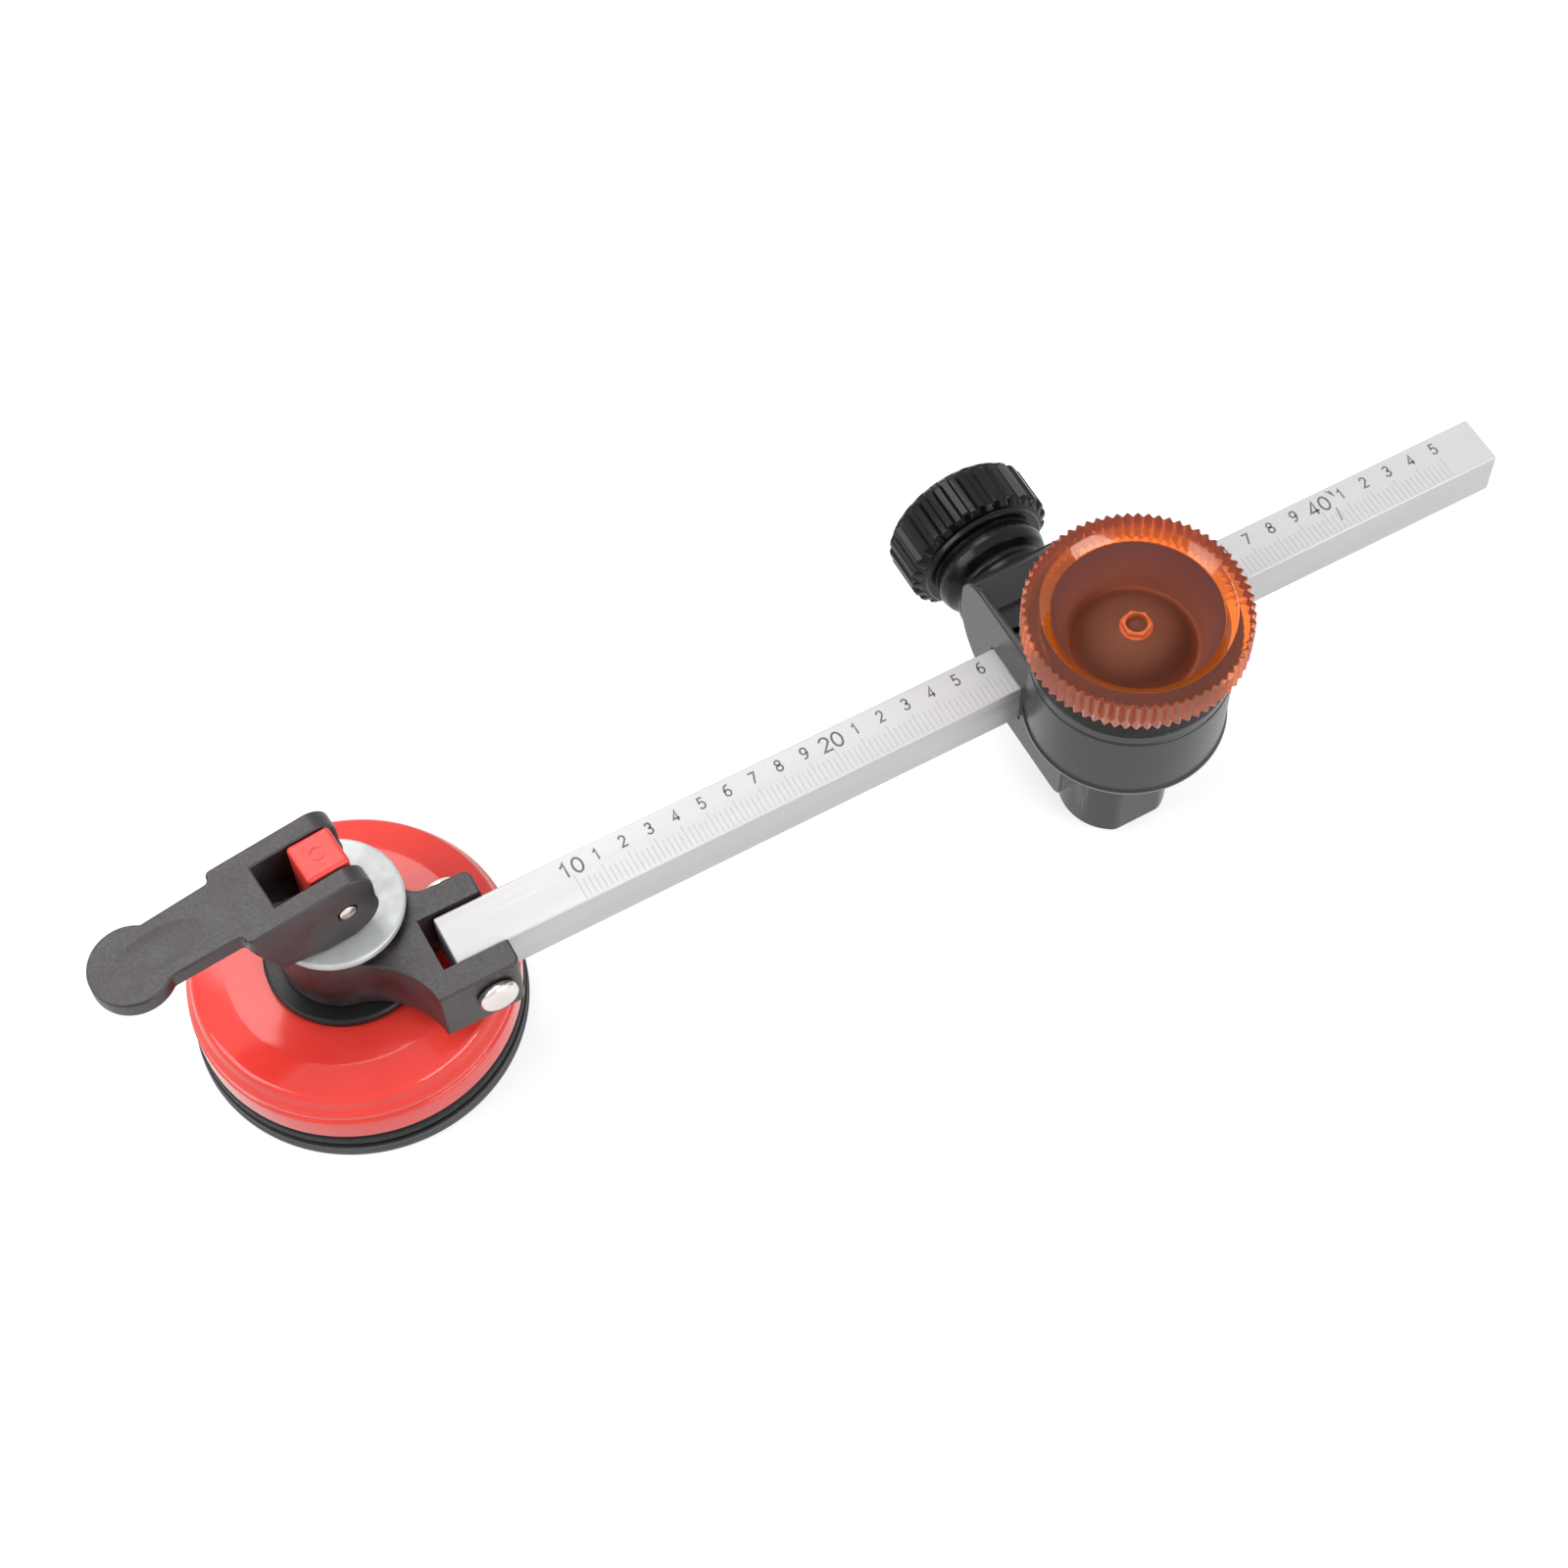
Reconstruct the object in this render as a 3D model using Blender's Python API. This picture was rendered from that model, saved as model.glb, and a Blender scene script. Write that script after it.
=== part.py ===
"""Circle cutter: a suction cup with a swinging arm, a scale bar and an oil fed cutting head.

Frame: the origin is the middle of the suction pad on the glass, +Z is up, +X runs along the bar
towards its free end and +Y points to the clamp knob. All lengths are in metres.
"""
import math

import bmesh
import bpy
from mathutils import Matrix

MM = 0.001

# General fits
gap = 0.3 * MM
overrun = 1.5 * MM
weld_distance = 0.001 * MM
sharp_degrees = 35

# Facets round a turned piece
large_steps = 48
medium_steps = 32
small_steps = 20

# Suction pad
pad_radius = 29.4 * MM
pad_lip_height = 3.3 * MM
pad_groove_depth = 1.1 * MM
pad_groove_height = 0.6 * MM
pad_height = 6.6 * MM
pad_band_inset = 0.4 * MM
pad_contact_width = 4.6 * MM
pad_dome_rise = 2.4 * MM
pad_edge_chamfer = 0.6 * MM
pad_web = 2.6 * MM
pad_dome_points = 6

# Cup shell
shell_inset = 0.5 * MM
shell_band_height = 4.7 * MM
shell_groove_depth = 0.6 * MM
shell_groove_height = 0.9 * MM
shell_ridge_inset = 0.3 * MM
shell_shoulder_inset = 0.9 * MM
shell_shoulder_rise = 7.6 * MM
shell_shoulder_radius = 3.4 * MM
shell_shoulder_degrees = 75
shell_shoulder_points = 5
shell_wall = 2.2 * MM
shell_height = 12.2 * MM
shell_edge = 0.3 * MM

# Plunger
plunger_width = 7.8 * MM
plunger_above_pin = 8.2 * MM
plunger_foot_radius = 10.0 * MM
plunger_foot_height = 2.8 * MM
plunger_corner = 0.6 * MM

# Neck of the shell, the post that the arm turns on
neck_radius = 7.2 * MM

# Bearing ring
ring_radius = 14.4 * MM
ring_height = 2.0 * MM
ring_chamfer = 0.6 * MM

# Swing arm
hub_radius = 11.5 * MM
hub_height = 14.0 * MM
hub_chamfer = 0.5 * MM
running_gap = 0.3 * MM
fork_height = 13.2 * MM
fork_above_bar = 0.9 * MM
fork_reach = 22.8 * MM
fork_back = 8.0 * MM
fork_slot_start = 11.0 * MM
fork_pin_back = 1.8 * MM
fork_arm_thickness = 4.9 * MM
fork_end_radius = 1.6 * MM
fork_end_points = 4
arm_sweep_radius = 14.5 * MM
arm_fillet_radius = 3.5 * MM
arc_points = 10

# Scale bar
bar_side = 9.6 * MM
bar_length = 208.4 * MM
bar_edge = 0.35 * MM
bar_offset = 13.8 * MM
bar_end_margin = 4.0 * MM
slot_clearance = 0.4 * MM

# Fork pin
pin_radius = 2.2 * MM
pin_head_radius = 3.5 * MM
pin_head_height = 1.7 * MM
pin_head_chamfer = 0.35 * MM
pin_socket_radius = 1.3 * MM
pin_socket_depth = 6.0 * MM

# Cam washer
washer_radius = 12.1 * MM
washer_thickness = 1.6 * MM
washer_bore_radius = 6.2 * MM
washer_chamfer = 0.25 * MM

# Cam lever
cam_radius = 8.0 * MM
cam_drop = 2.2 * MM
cam_margin = 0.45 * MM
lever_turn_degrees = 4.5
lever_width = 15.6 * MM
lever_rise = 8.0 * MM
lever_body_back = 16.8 * MM
lever_slot_back = 10.2 * MM
lever_heel = 13.0 * MM
lever_neck_width = 11.8 * MM
lever_waist_width = 11.2 * MM
lever_end_radius = 7.3 * MM
lever_end_reach = 34.2 * MM
lever_thickness = 3.6 * MM
lever_end_drop = 1.8 * MM
lever_heel_share = 0.72
lever_sole_share = 0.62
lever_front_radius = 4.0 * MM
lever_front_points = 6
lever_pin_radius = 1.5 * MM
lever_pin_proud = 0.2 * MM
cam_points = 10

# Cutting head
head_left = 121.9 * MM
head_width = 23.0 * MM
tank_offset = 14.2 * MM
tank_from_left = 15.6 * MM
tank_radius = 17.5 * MM
tank_wall = 1.3 * MM
tank_ledge_drop = 4.8 * MM
tank_rim_rise = 17.8 * MM
tank_floor_rise = 2.6 * MM
rim_step = 0.8 * MM
rim_step_height = 4.2 * MM
block_below = 6.8 * MM
block_above = 10.3 * MM
block_front = 12.5 * MM
block_depth = 11.0 * MM
block_rear_radius = 13.0 * MM
block_rear_level = 4.8 * MM
block_rear_degrees = 70
block_keel_back = 1.6 * MM
block_top_radius = 6.5 * MM
block_lip_width = 1.2 * MM
block_step_depths = (0.7 * MM, 1.9 * MM, 3.1 * MM)
block_step_starts = (0 * MM, 9.9 * MM, 13.9 * MM)
insert_boss_radius = 6.2 * MM
tunnel_clearance = 0.35 * MM
nose_radius = 9.8 * MM
nose_flat = 8.7 * MM
nose_shift = 0.4 * MM
nose_bottom = 2.4 * MM

# Oil cap
cap_overhang = 2.0 * MM
cap_tooth_depth = 0.75 * MM
cap_tooth_count = 68
cap_skirt_height = 6.8 * MM
cap_rim_width = 2.3 * MM
cap_rim_radius = 0.5 * MM
cap_slope_drop = 2.4 * MM
cap_wall = 1.3 * MM
cap_well_depth = 11.0 * MM
cap_floor_margin = 3.4 * MM
cap_floor_rise = 6.0 * MM
cap_floor_points = 5
cap_floor_thickness = 1.6 * MM
cap_boss_radius = 2.65 * MM
cap_boss_bore = 1.5 * MM
cap_boss_height = 0.7 * MM
cap_boss_sides = 6

# Cap seal
seal_proud = 0.1 * MM
seal_lip_height = 1.1 * MM

# Wheel holder
holder_radius = 3.0 * MM
holder_bottom = 1.3 * MM
holder_stem_radius = 2.0 * MM
holder_stem_rise = 3.4 * MM
holder_shoulder = 15.5 * MM
holder_slot_width = 1.9 * MM
holder_slot_height = 6.6 * MM
holder_chamfer = 0.4 * MM
bush_radius = 4.4 * MM
clip_radius = 3.6 * MM
clip_thickness = 0.8 * MM
clip_groove_depth = 0.5 * MM
wick_radius = 9.0 * MM
wick_height = 4.0 * MM

# Cutting wheel
wheel_radius = 2.9 * MM
wheel_thickness = 1.1 * MM
wheel_edge_width = 0.12 * MM
wheel_flank = 0.45 * MM
axle_radius = 0.7 * MM
axle_inset = 0.15 * MM
wheel_gap = 0.06 * MM

# Clamp
knob_from_left = 10.4 * MM
knob_radius = 13.9 * MM
knob_rim_length = 10.2 * MM
knob_hub_length = 9.6 * MM
knob_groove_depth = 0.8 * MM
knob_rib_count = 26
knob_edge_chamfer = 0.9 * MM
knob_rib_share = 0.34
knob_step_radius = 11.7 * MM
knob_step_length = 1.1 * MM
knob_groove_radius = 10.0 * MM
knob_groove_length = 0.8 * MM
knob_drum_radius = 10.6 * MM
knob_drum_length = 3.4 * MM
knob_neck_radius = 8.5 * MM
knob_base_radius = 9.6 * MM
knob_base_length = 1.2 * MM
knob_face_dish = 1.2 * MM
knob_face_radius = 9.5 * MM
stud_radius = 2.9 * MM
stud_head_radius = 4.9 * MM
stud_head_height = 3.6 * MM
stud_head_sides = 6
insert_radius = 4.5 * MM
shoe_width = 8.0 * MM
shoe_thickness = 1.4 * MM
shoe_travel = 1.0 * MM

# Heights and places that follow
pad_pocket_floor = pad_dome_rise + pad_web
plunger_foot_bottom = pad_pocket_floor + gap
shell_radius = pad_radius - shell_inset
shell_bottom = pad_height + gap
shell_top = shell_bottom + shell_height
ring_bottom = shell_top + gap
ring_top = ring_bottom + ring_height
hub_bottom = ring_top + gap
hub_top = hub_bottom + hub_height
neck_top = hub_top + gap
washer_bottom = neck_top + gap
washer_top = washer_bottom + washer_thickness
pin_height = washer_top + gap + cam_radius
lever_top = pin_height + lever_rise
plunger_top = pin_height + plunger_above_pin
fork_top = hub_bottom + fork_height
bar_middle = fork_top - fork_above_bar - bar_side / 2
bar_top = bar_middle + bar_side / 2
bar_bottom = bar_middle - bar_side / 2
bar_pin_x = fork_slot_start + bar_side / 2 + fork_pin_back
bar_start = bar_pin_x - bar_end_margin
slot_width = bar_side + slot_clearance * 2
fork_width = slot_width + fork_arm_thickness * 2
neck_bore_width = plunger_width + gap * 2
lever_slot_width = plunger_width + gap * 2
tank_bore_radius = tank_radius - tank_wall
tank_x = head_left + tank_from_left
tank_y = -bar_offset - tank_offset
tank_bottom = bar_top - tank_ledge_drop
tank_floor = bar_top + tank_floor_rise
rim_top = bar_top + tank_rim_rise
block_top = bar_top + block_above
block_bottom = bar_bottom - block_below
seal_radius = tank_radius + seal_proud
seal_bottom = rim_top - rim_step_height + gap
seal_top = rim_top + gap + seal_lip_height
cap_radius = tank_radius + cap_overhang
cap_plug_radius = tank_bore_radius - gap
cap_well_radius = cap_plug_radius - cap_wall
cap_floor_radius = cap_well_radius - cap_floor_margin
cap_bottom = seal_top + gap
cap_top = cap_bottom + cap_skirt_height
cap_well_floor = cap_top - cap_well_depth
knob_x = head_left + knob_from_left
bar_back = -bar_offset + bar_side / 2
tunnel_side = bar_side + tunnel_clearance * 2
block_rear = bar_back + block_depth
knob_start = block_rear + gap + knob_hub_length
bush_bottom = nose_bottom + gap * 2
clip_bottom = tank_floor + gap
clip_top = clip_bottom + clip_thickness


def clear_scene():
    """Remove every object that the new file starts with."""
    for item in list(bpy.data.objects):
        bpy.data.objects.remove(item, do_unlink=True)


def material(name, colour, roughness, metallic=0.0, alpha=1.0):
    """A Principled material, made once and shared by name."""
    found = bpy.data.materials.get(name)
    if found:
        return found
    made = bpy.data.materials.new(name)
    made.use_nodes = True
    shader = made.node_tree.nodes["Principled BSDF"]
    shader.inputs["Base Color"].default_value = (*colour, 1.0)
    shader.inputs["Roughness"].default_value = roughness
    shader.inputs["Metallic"].default_value = metallic
    shader.inputs["Alpha"].default_value = alpha
    made.diffuse_color = (*colour, alpha)
    return made


def red_plastic():
    return material("red_plastic", (0.78, 0.05, 0.03), 0.3)


def charcoal_plastic():
    return material("charcoal_plastic", (0.07, 0.07, 0.075), 0.5)


def black_plastic():
    return material("black_plastic", (0.02, 0.02, 0.02), 0.35)


def black_rubber():
    return material("black_rubber", (0.03, 0.03, 0.03), 0.7)


def orange_plastic():
    return material("orange_plastic", (0.85, 0.2, 0.02), 0.15, alpha=0.6)


def aluminium():
    return material("aluminium", (0.85, 0.85, 0.86), 0.35, 1.0)


def zinc():
    return material("zinc", (0.75, 0.76, 0.77), 0.3, 1.0)


def nickel():
    return material("nickel", (0.7, 0.66, 0.6), 0.2, 1.0)


def steel():
    return material("steel", (0.55, 0.55, 0.56), 0.3, 1.0)


def brass():
    return material("brass", (0.7, 0.5, 0.2), 0.3, 1.0)


def felt():
    return material("felt", (0.75, 0.72, 0.62), 0.95)


def finish(name, bm, look, cutter=False, smooth=True):
    """Turn a bmesh into a named object; a cutter is drawn as wire and left out of the part."""
    bmesh.ops.remove_doubles(bm, verts=bm.verts[:], dist=weld_distance)
    bmesh.ops.recalc_face_normals(bm, faces=bm.faces[:])
    mesh = bpy.data.meshes.new(name)
    bm.to_mesh(mesh)
    bm.free()
    item = bpy.data.objects.new(name, mesh)
    bpy.context.scene.collection.objects.link(item)
    if look:
        mesh.materials.append(look)
    if smooth:
        mesh.shade_smooth()
        mesh.set_sharp_from_angle(angle=math.radians(sharp_degrees))
    if cutter:
        item.hide_render = True
        item.display_type = "WIRE"
    return item


def turned(name, profile, look=None, steps=medium_steps, cutter=False):
    """Spin a closed (radius, height) profile round Z; the stretch along the axis is left open."""
    bm = bmesh.new()
    verts = [bm.verts.new((radius, 0, height)) for radius, height in profile]
    edges = []
    for first, second in zip(verts, verts[1:] + verts[:1]):
        if first.co.x > 0 or second.co.x > 0:
            edges.append(bm.edges.new((first, second)))
    bmesh.ops.spin(
        bm, geom=verts + edges, cent=(0, 0, 0), axis=(0, 0, 1), angle=math.tau, steps=steps, use_merge=True
    )
    return finish(name, bm, look, cutter)


def prism(name, outline, low, high, look=None, cutter=False, smooth=True):
    """Extrude an (x, y) outline from one height to another."""
    bm = bmesh.new()
    face = bm.faces.new([bm.verts.new((x, y, low)) for x, y in outline])
    grown = bmesh.ops.extrude_face_region(bm, geom=[face])
    moved = [part for part in grown["geom"] if isinstance(part, bmesh.types.BMVert)]
    bmesh.ops.translate(bm, verts=moved, vec=(0, 0, high - low))
    return finish(name, bm, look, cutter, smooth)


def box(name, low, high, look=None, cutter=False):
    """A box between two corners."""
    outline = [(low[0], low[1]), (high[0], low[1]), (high[0], high[1]), (low[0], high[1])]
    return prism(name, outline, low[2], high[2], look, cutter, smooth=False)


def bevel(item, width, segments=2):
    """Round the sharp edges of an object."""
    change = item.modifiers.new("edge", "BEVEL")
    change.width = width
    change.segments = segments
    change.limit_method = "ANGLE"
    change.angle_limit = math.radians(sharp_degrees)
    change.use_clamp_overlap = True
    return item


def combine(item, tools, operation="DIFFERENCE"):
    """Cut tools out of an object, or join them to it."""
    for tool in tools:
        change = item.modifiers.new(tool.name, "BOOLEAN")
        change.operation = operation
        change.solver = "EXACT"
        change.object = tool
        tool.hide_render = True
        tool.display_type = "WIRE"
    return item


def place(item, spot=(0, 0, 0), turn=None):
    """Move an object's mesh round its origin with turn, then put the origin at spot."""
    if turn is not None:
        item.data.transform(turn)
    item.location = spot
    return item


def parent(item, holder):
    """Parent an object and keep where it stands."""
    bpy.context.view_layer.update()
    item.parent = holder
    item.matrix_parent_inverse = holder.matrix_world.inverted()
    return item


def pivot(name, spot, turn_degrees=0.0):
    """An empty on a joint's axis."""
    item = bpy.data.objects.new(name, None)
    item.empty_display_size = pad_height
    item.location = spot
    item.rotation_euler = (0, 0, math.radians(turn_degrees))
    bpy.context.scene.collection.objects.link(item)
    return item


def arc(centre, radius, start, end, points):
    """Points along an arc, angles in degrees."""
    spots = []
    for index in range(points + 1):
        angle = math.radians(start + (end - start) * index / points)
        spots.append((centre[0] + radius * math.cos(angle), centre[1] + radius * math.sin(angle)))
    return spots


along_x = Matrix.Rotation(math.radians(90), 4, "Y")
along_y = Matrix.Rotation(math.radians(-90), 4, "X")


def build_suction_pad():
    """Rubber disc with a flat contact rim, a hollow underside and a pocket for the plunger foot."""
    contact_inner = pad_radius - pad_contact_width
    pocket_radius = plunger_foot_radius + gap
    profile = [(0, pad_dome_rise)]
    for index in range(1, pad_dome_points + 1):
        share = index / pad_dome_points
        height = pad_dome_rise * (1 - share ** 2)
        profile.append((contact_inner * share, height))
    profile += [
        (pad_radius - pad_edge_chamfer, 0),
        (pad_radius, pad_edge_chamfer),
        (pad_radius, pad_lip_height),
        (pad_radius - pad_groove_depth, pad_lip_height),
        (pad_radius - pad_groove_depth, pad_lip_height + pad_groove_height),
        (pad_radius - pad_band_inset, pad_lip_height + pad_groove_height),
        (pad_radius - pad_band_inset, pad_height),
        (pocket_radius, pad_height),
        (pocket_radius, pad_pocket_floor),
        (0, pad_pocket_floor),
    ]
    return turned("suction_pad", profile, black_rubber(), large_steps)


def shell_outside():
    """Outer profile of the shell from its lower edge up to its flat top."""
    band_top = shell_bottom + shell_band_height
    groove_radius = shell_radius - shell_groove_depth
    groove_top = band_top + shell_groove_height
    ridge_radius = shell_radius - shell_ridge_inset
    shoulder_radius = shell_radius - shell_shoulder_inset
    shoulder_height = shell_bottom + shell_shoulder_rise
    profile = [
        (shell_radius, shell_bottom),
        (shell_radius, band_top - shell_edge),
        (shell_radius - shell_edge, band_top),
        (groove_radius, band_top + shell_edge),
        (groove_radius, groove_top - shell_edge),
        (ridge_radius, groove_top + shell_edge),
        (shoulder_radius, shoulder_height),
    ]
    centre = (shoulder_radius - shell_shoulder_radius, shoulder_height)
    profile += arc(centre, shell_shoulder_radius, 0, shell_shoulder_degrees, shell_shoulder_points)[1:]
    profile.append((ring_radius, shell_top))
    return profile


def build_cup_shell():
    """Moulded dome over the pad, with the neck that the arm turns on and a square guide hole."""
    outside = shell_outside()
    foot_room = plunger_foot_radius + gap * 4
    foot_top = plunger_foot_bottom + plunger_foot_height
    inner_radius = shell_radius - shell_shoulder_inset - shell_wall
    profile = outside + [(neck_radius, shell_top), (neck_radius, neck_top), (0, neck_top)]
    profile += [
        (0, foot_top + gap * 2),
        (foot_room, foot_top + gap * 2),
        (foot_room, shell_top - shell_wall * 2),
        (ring_radius, shell_top - shell_wall),
        (inner_radius - shell_wall, shell_top - shell_wall * 2),
        (inner_radius, shell_bottom + shell_shoulder_rise),
        (inner_radius, shell_bottom),
    ]
    shell = turned("cup_shell", profile, red_plastic(), large_steps)
    half = neck_bore_width / 2
    high = (half, half, neck_top + overrun)
    guide = box("shell_guide_cut", (-half, -half, shell_bottom), high, cutter=True)
    guide.rotation_euler = (0, 0, math.radians(lever_turn_degrees))
    return combine(shell, [guide])


def build_plunger(holder):
    """Square stem on a round foot; its top is drilled across for the lever pin."""
    half = plunger_width / 2
    stem = box("plunger", (-half, -half, plunger_foot_bottom + gap), (half, half, plunger_top), red_plastic())
    bevel(stem, plunger_corner)
    foot = turned(
        "plunger_foot",
        [
            (0, plunger_foot_bottom),
            (plunger_foot_radius, plunger_foot_bottom),
            (plunger_foot_radius, plunger_foot_bottom + plunger_foot_height),
            (0, plunger_foot_bottom + plunger_foot_height),
        ],
        steps=medium_steps,
        cutter=True,
    )
    hole = cross_hole("plunger_pin_cut", lever_pin_radius + gap, plunger_width + overrun * 2)
    combine(stem, [foot], "UNION")
    combine(stem, [hole])
    for item in (stem, foot, hole):
        item.rotation_euler = (0, 0, math.radians(lever_turn_degrees))
    return parent(stem, holder)


def cross_hole(name, radius, length):
    """A cutter along Y at the lever pin's height."""
    half = length / 2
    profile = [(0, -half), (radius, -half), (radius, half), (0, half)]
    hole = turned(name, profile, steps=small_steps, cutter=True)
    return place(hole, (0, 0, pin_height), along_y)


def build_bearing_ring():
    """Black ring that carries the hub on the dome."""
    inner = neck_radius + running_gap
    profile = [
        (inner, ring_bottom),
        (ring_radius - ring_chamfer, ring_bottom),
        (ring_radius, ring_bottom + ring_chamfer),
        (ring_radius, ring_top - ring_chamfer),
        (ring_radius - ring_chamfer, ring_top),
        (inner, ring_top),
    ]
    return turned("bearing_ring", profile, black_rubber(), large_steps)


def arm_outline():
    """Plan of the arm: hub, swept near side and the fork block."""
    near = -bar_offset - fork_width / 2
    far = -bar_offset + fork_width / 2
    sweep_x = fork_back - arm_sweep_radius
    reach = hub_radius + arm_sweep_radius
    sweep_y = -math.sqrt(reach ** 2 - sweep_x ** 2)
    meet = math.degrees(math.atan2(-sweep_y, -sweep_x))
    bottom = math.degrees(math.asin(max(-1.0, min(1.0, (near - sweep_y) / arm_sweep_radius))))
    outline = arc((sweep_x, sweep_y), arm_sweep_radius, meet, bottom, arc_points)
    outline += arc_corner(fork_reach, near, fork_end_radius, -90, 0)
    outline += arc_corner(fork_reach, far, fork_end_radius, 0, 90)
    fillet_y = far + arm_fillet_radius
    fillet_reach = hub_radius + arm_fillet_radius
    fillet_x = math.sqrt(fillet_reach ** 2 - fillet_y ** 2)
    turn = math.degrees(math.atan2(fillet_y, fillet_x)) - 180
    outline += arc((fillet_x, fillet_y), arm_fillet_radius, -90, turn, arc_points // 2)
    hub_start = math.degrees(math.atan2(fillet_y, fillet_x))
    hub_end = 360 + math.degrees(math.atan2(sweep_y, sweep_x))
    outline += arc((0, 0), hub_radius, hub_start, hub_end, arc_points * 3)[1:-1]
    return outline


def arc_corner(x, y, radius, start, end):
    """Rounded corner of an upright block whose outer corner is at x, y."""
    side = 1 if start == -90 else -1
    return arc((x - radius, y + side * radius), radius, start, end, fork_end_points)


def build_swing_arm():
    """Hub and offset fork; the bar swings up between the fork's arms."""
    fork = prism("swing_arm", arm_outline(), hub_bottom, fork_top, charcoal_plastic())
    bevel(fork, hub_chamfer)
    hub = turned(
        "arm_hub",
        [
            (0, hub_bottom),
            (hub_radius, hub_bottom),
            (hub_radius, hub_top - hub_chamfer),
            (hub_radius - hub_chamfer, hub_top),
            (0, hub_top),
        ],
        steps=large_steps,
        cutter=True,
    )
    slot_low = (fork_slot_start, -bar_offset - slot_width / 2, hub_bottom - overrun)
    slot_high = (fork_reach + overrun, -bar_offset + slot_width / 2, fork_top + overrun)
    slot = box("arm_slot_cut", slot_low, slot_high, cutter=True)
    bore = turned(
        "arm_bore_cut",
        [
            (0, hub_bottom - overrun),
            (neck_radius + running_gap, hub_bottom - overrun),
            (neck_radius + running_gap, hub_top + overrun),
            (0, hub_top + overrun),
        ],
        steps=large_steps,
        cutter=True,
    )
    pin_room = turned("arm_pin_cut", pin_profile(pin_radius + gap, fork_width + overrun * 2), cutter=True)
    place(pin_room, (bar_pin_x, -bar_offset, bar_middle), along_y)
    combine(fork, [hub], "UNION")
    return combine(fork, [slot, bore, pin_room])


def pin_profile(radius, length):
    """Plain rod profile centred on the origin."""
    half = length / 2
    return [(0, -half), (radius, -half), (radius, half), (0, half)]


def head_profile(radius, low, high, chamfer):
    """Disc whose upper edge is chamfered."""
    return [(0, low), (radius, low), (radius, high - chamfer), (radius - chamfer, high), (0, high)]


def build_bar_pin(holder):
    """Rivet head and shank from the near side, with a screwed cap in its far end."""
    half = fork_width / 2 + gap
    head_out = half + pin_head_height
    shank_end = half - gap
    profile = [
        (0, -head_out),
        (pin_head_radius - pin_head_chamfer, -head_out),
        (pin_head_radius, -head_out + pin_head_chamfer),
        (pin_head_radius, -half),
        (pin_radius, -half),
        (pin_radius, shank_end),
        (pin_socket_radius + gap, shank_end),
        (pin_socket_radius + gap, shank_end - pin_socket_depth),
        (0, shank_end - pin_socket_depth),
    ]
    pin = turned("bar_pin", profile, nickel(), medium_steps)
    place(pin, (bar_pin_x, -bar_offset, bar_middle), along_y)
    cap_profile = [
        (0, half - pin_socket_depth),
        (pin_socket_radius, half - pin_socket_depth),
        (pin_socket_radius, half),
        (pin_head_radius, half),
        (pin_head_radius, head_out - pin_head_chamfer),
        (pin_head_radius - pin_head_chamfer, head_out),
        (0, head_out),
    ]
    cap = turned("pin_cap", cap_profile, nickel(), medium_steps)
    place(cap, (bar_pin_x, -bar_offset, bar_middle), along_y)
    return parent(pin, holder), parent(cap, holder)


def build_scale_bar(holder):
    """Square bar drilled across for the fork pin."""
    low = (bar_start, -bar_offset - bar_side / 2, bar_bottom)
    high = (bar_start + bar_length, -bar_offset + bar_side / 2, bar_top)
    bar = box("scale_bar", low, high, aluminium())
    bevel(bar, bar_edge)
    hole = turned("bar_pin_cut", pin_profile(pin_radius + gap, bar_side + overrun * 2), cutter=True)
    place(hole, (bar_pin_x, -bar_offset, bar_middle), along_y)
    combine(bar, [hole])
    return parent(bar, holder)


def build_cam_washer():
    """Zinc plate washer on top of the neck."""
    profile = [
        (washer_bore_radius, washer_bottom),
        (washer_radius - washer_chamfer, washer_bottom),
        (washer_radius, washer_bottom + washer_chamfer),
        (washer_radius, washer_top - washer_chamfer),
        (washer_radius - washer_chamfer, washer_top),
        (washer_bore_radius, washer_top),
    ]
    return turned("cam_washer", profile, zinc(), large_steps)


def lever_side():
    """Side outline of the lever round its pin: (along, up), the handle towards minus along."""
    top_back = lever_rise - lever_end_drop * lever_body_back / lever_end_reach
    outline = [(-lever_body_back, top_back)]
    outline += [(-lever_body_back, top_back - lever_thickness)]
    outline += [(-lever_heel, -cam_radius * lever_heel_share)]
    outline += [(-cam_radius * lever_sole_share, -cam_radius)]
    outline += [(0, -cam_radius)]
    for index in range(1, cam_points + 1):
        share = index / cam_points
        radius = cam_radius - (cam_drop + cam_margin) * share
        angle = math.radians(-90 + 90 * share)
        along = radius * math.cos(angle)
        outline.append((along, radius * math.sin(angle)))
    front = cam_radius - cam_drop - cam_margin
    corner = (front - lever_front_radius, lever_rise - lever_front_radius)
    outline += arc(corner, lever_front_radius, 0, 90, lever_front_points)
    return outline


def build_cam_lever(holder):
    """Forked cam with a square hole round the plunger and a flat paddle to press."""
    body = prism("cam_lever", lever_side(), -lever_width / 2, lever_width / 2, charcoal_plastic())
    place(body, (0, 0, pin_height), Matrix.Rotation(math.radians(90), 4, "X"))
    bevel(body, hub_chamfer)
    paddle = lever_paddle()
    half = lever_slot_width / 2
    front = cam_radius + overrun
    slot_low = (-lever_slot_back, -half, pin_height - cam_radius - overrun)
    slot = box("lever_slot_cut", slot_low, (front, half, lever_top + overrun), cutter=True)
    hole = cross_hole("lever_pin_cut", lever_pin_radius + gap, lever_width + overrun * 2)
    combine(body, [paddle], "UNION")
    combine(body, [slot, hole])
    for item in (body, paddle, slot, hole):
        item.rotation_euler = (0, 0, math.radians(lever_turn_degrees))
    return parent(body, holder)


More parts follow.
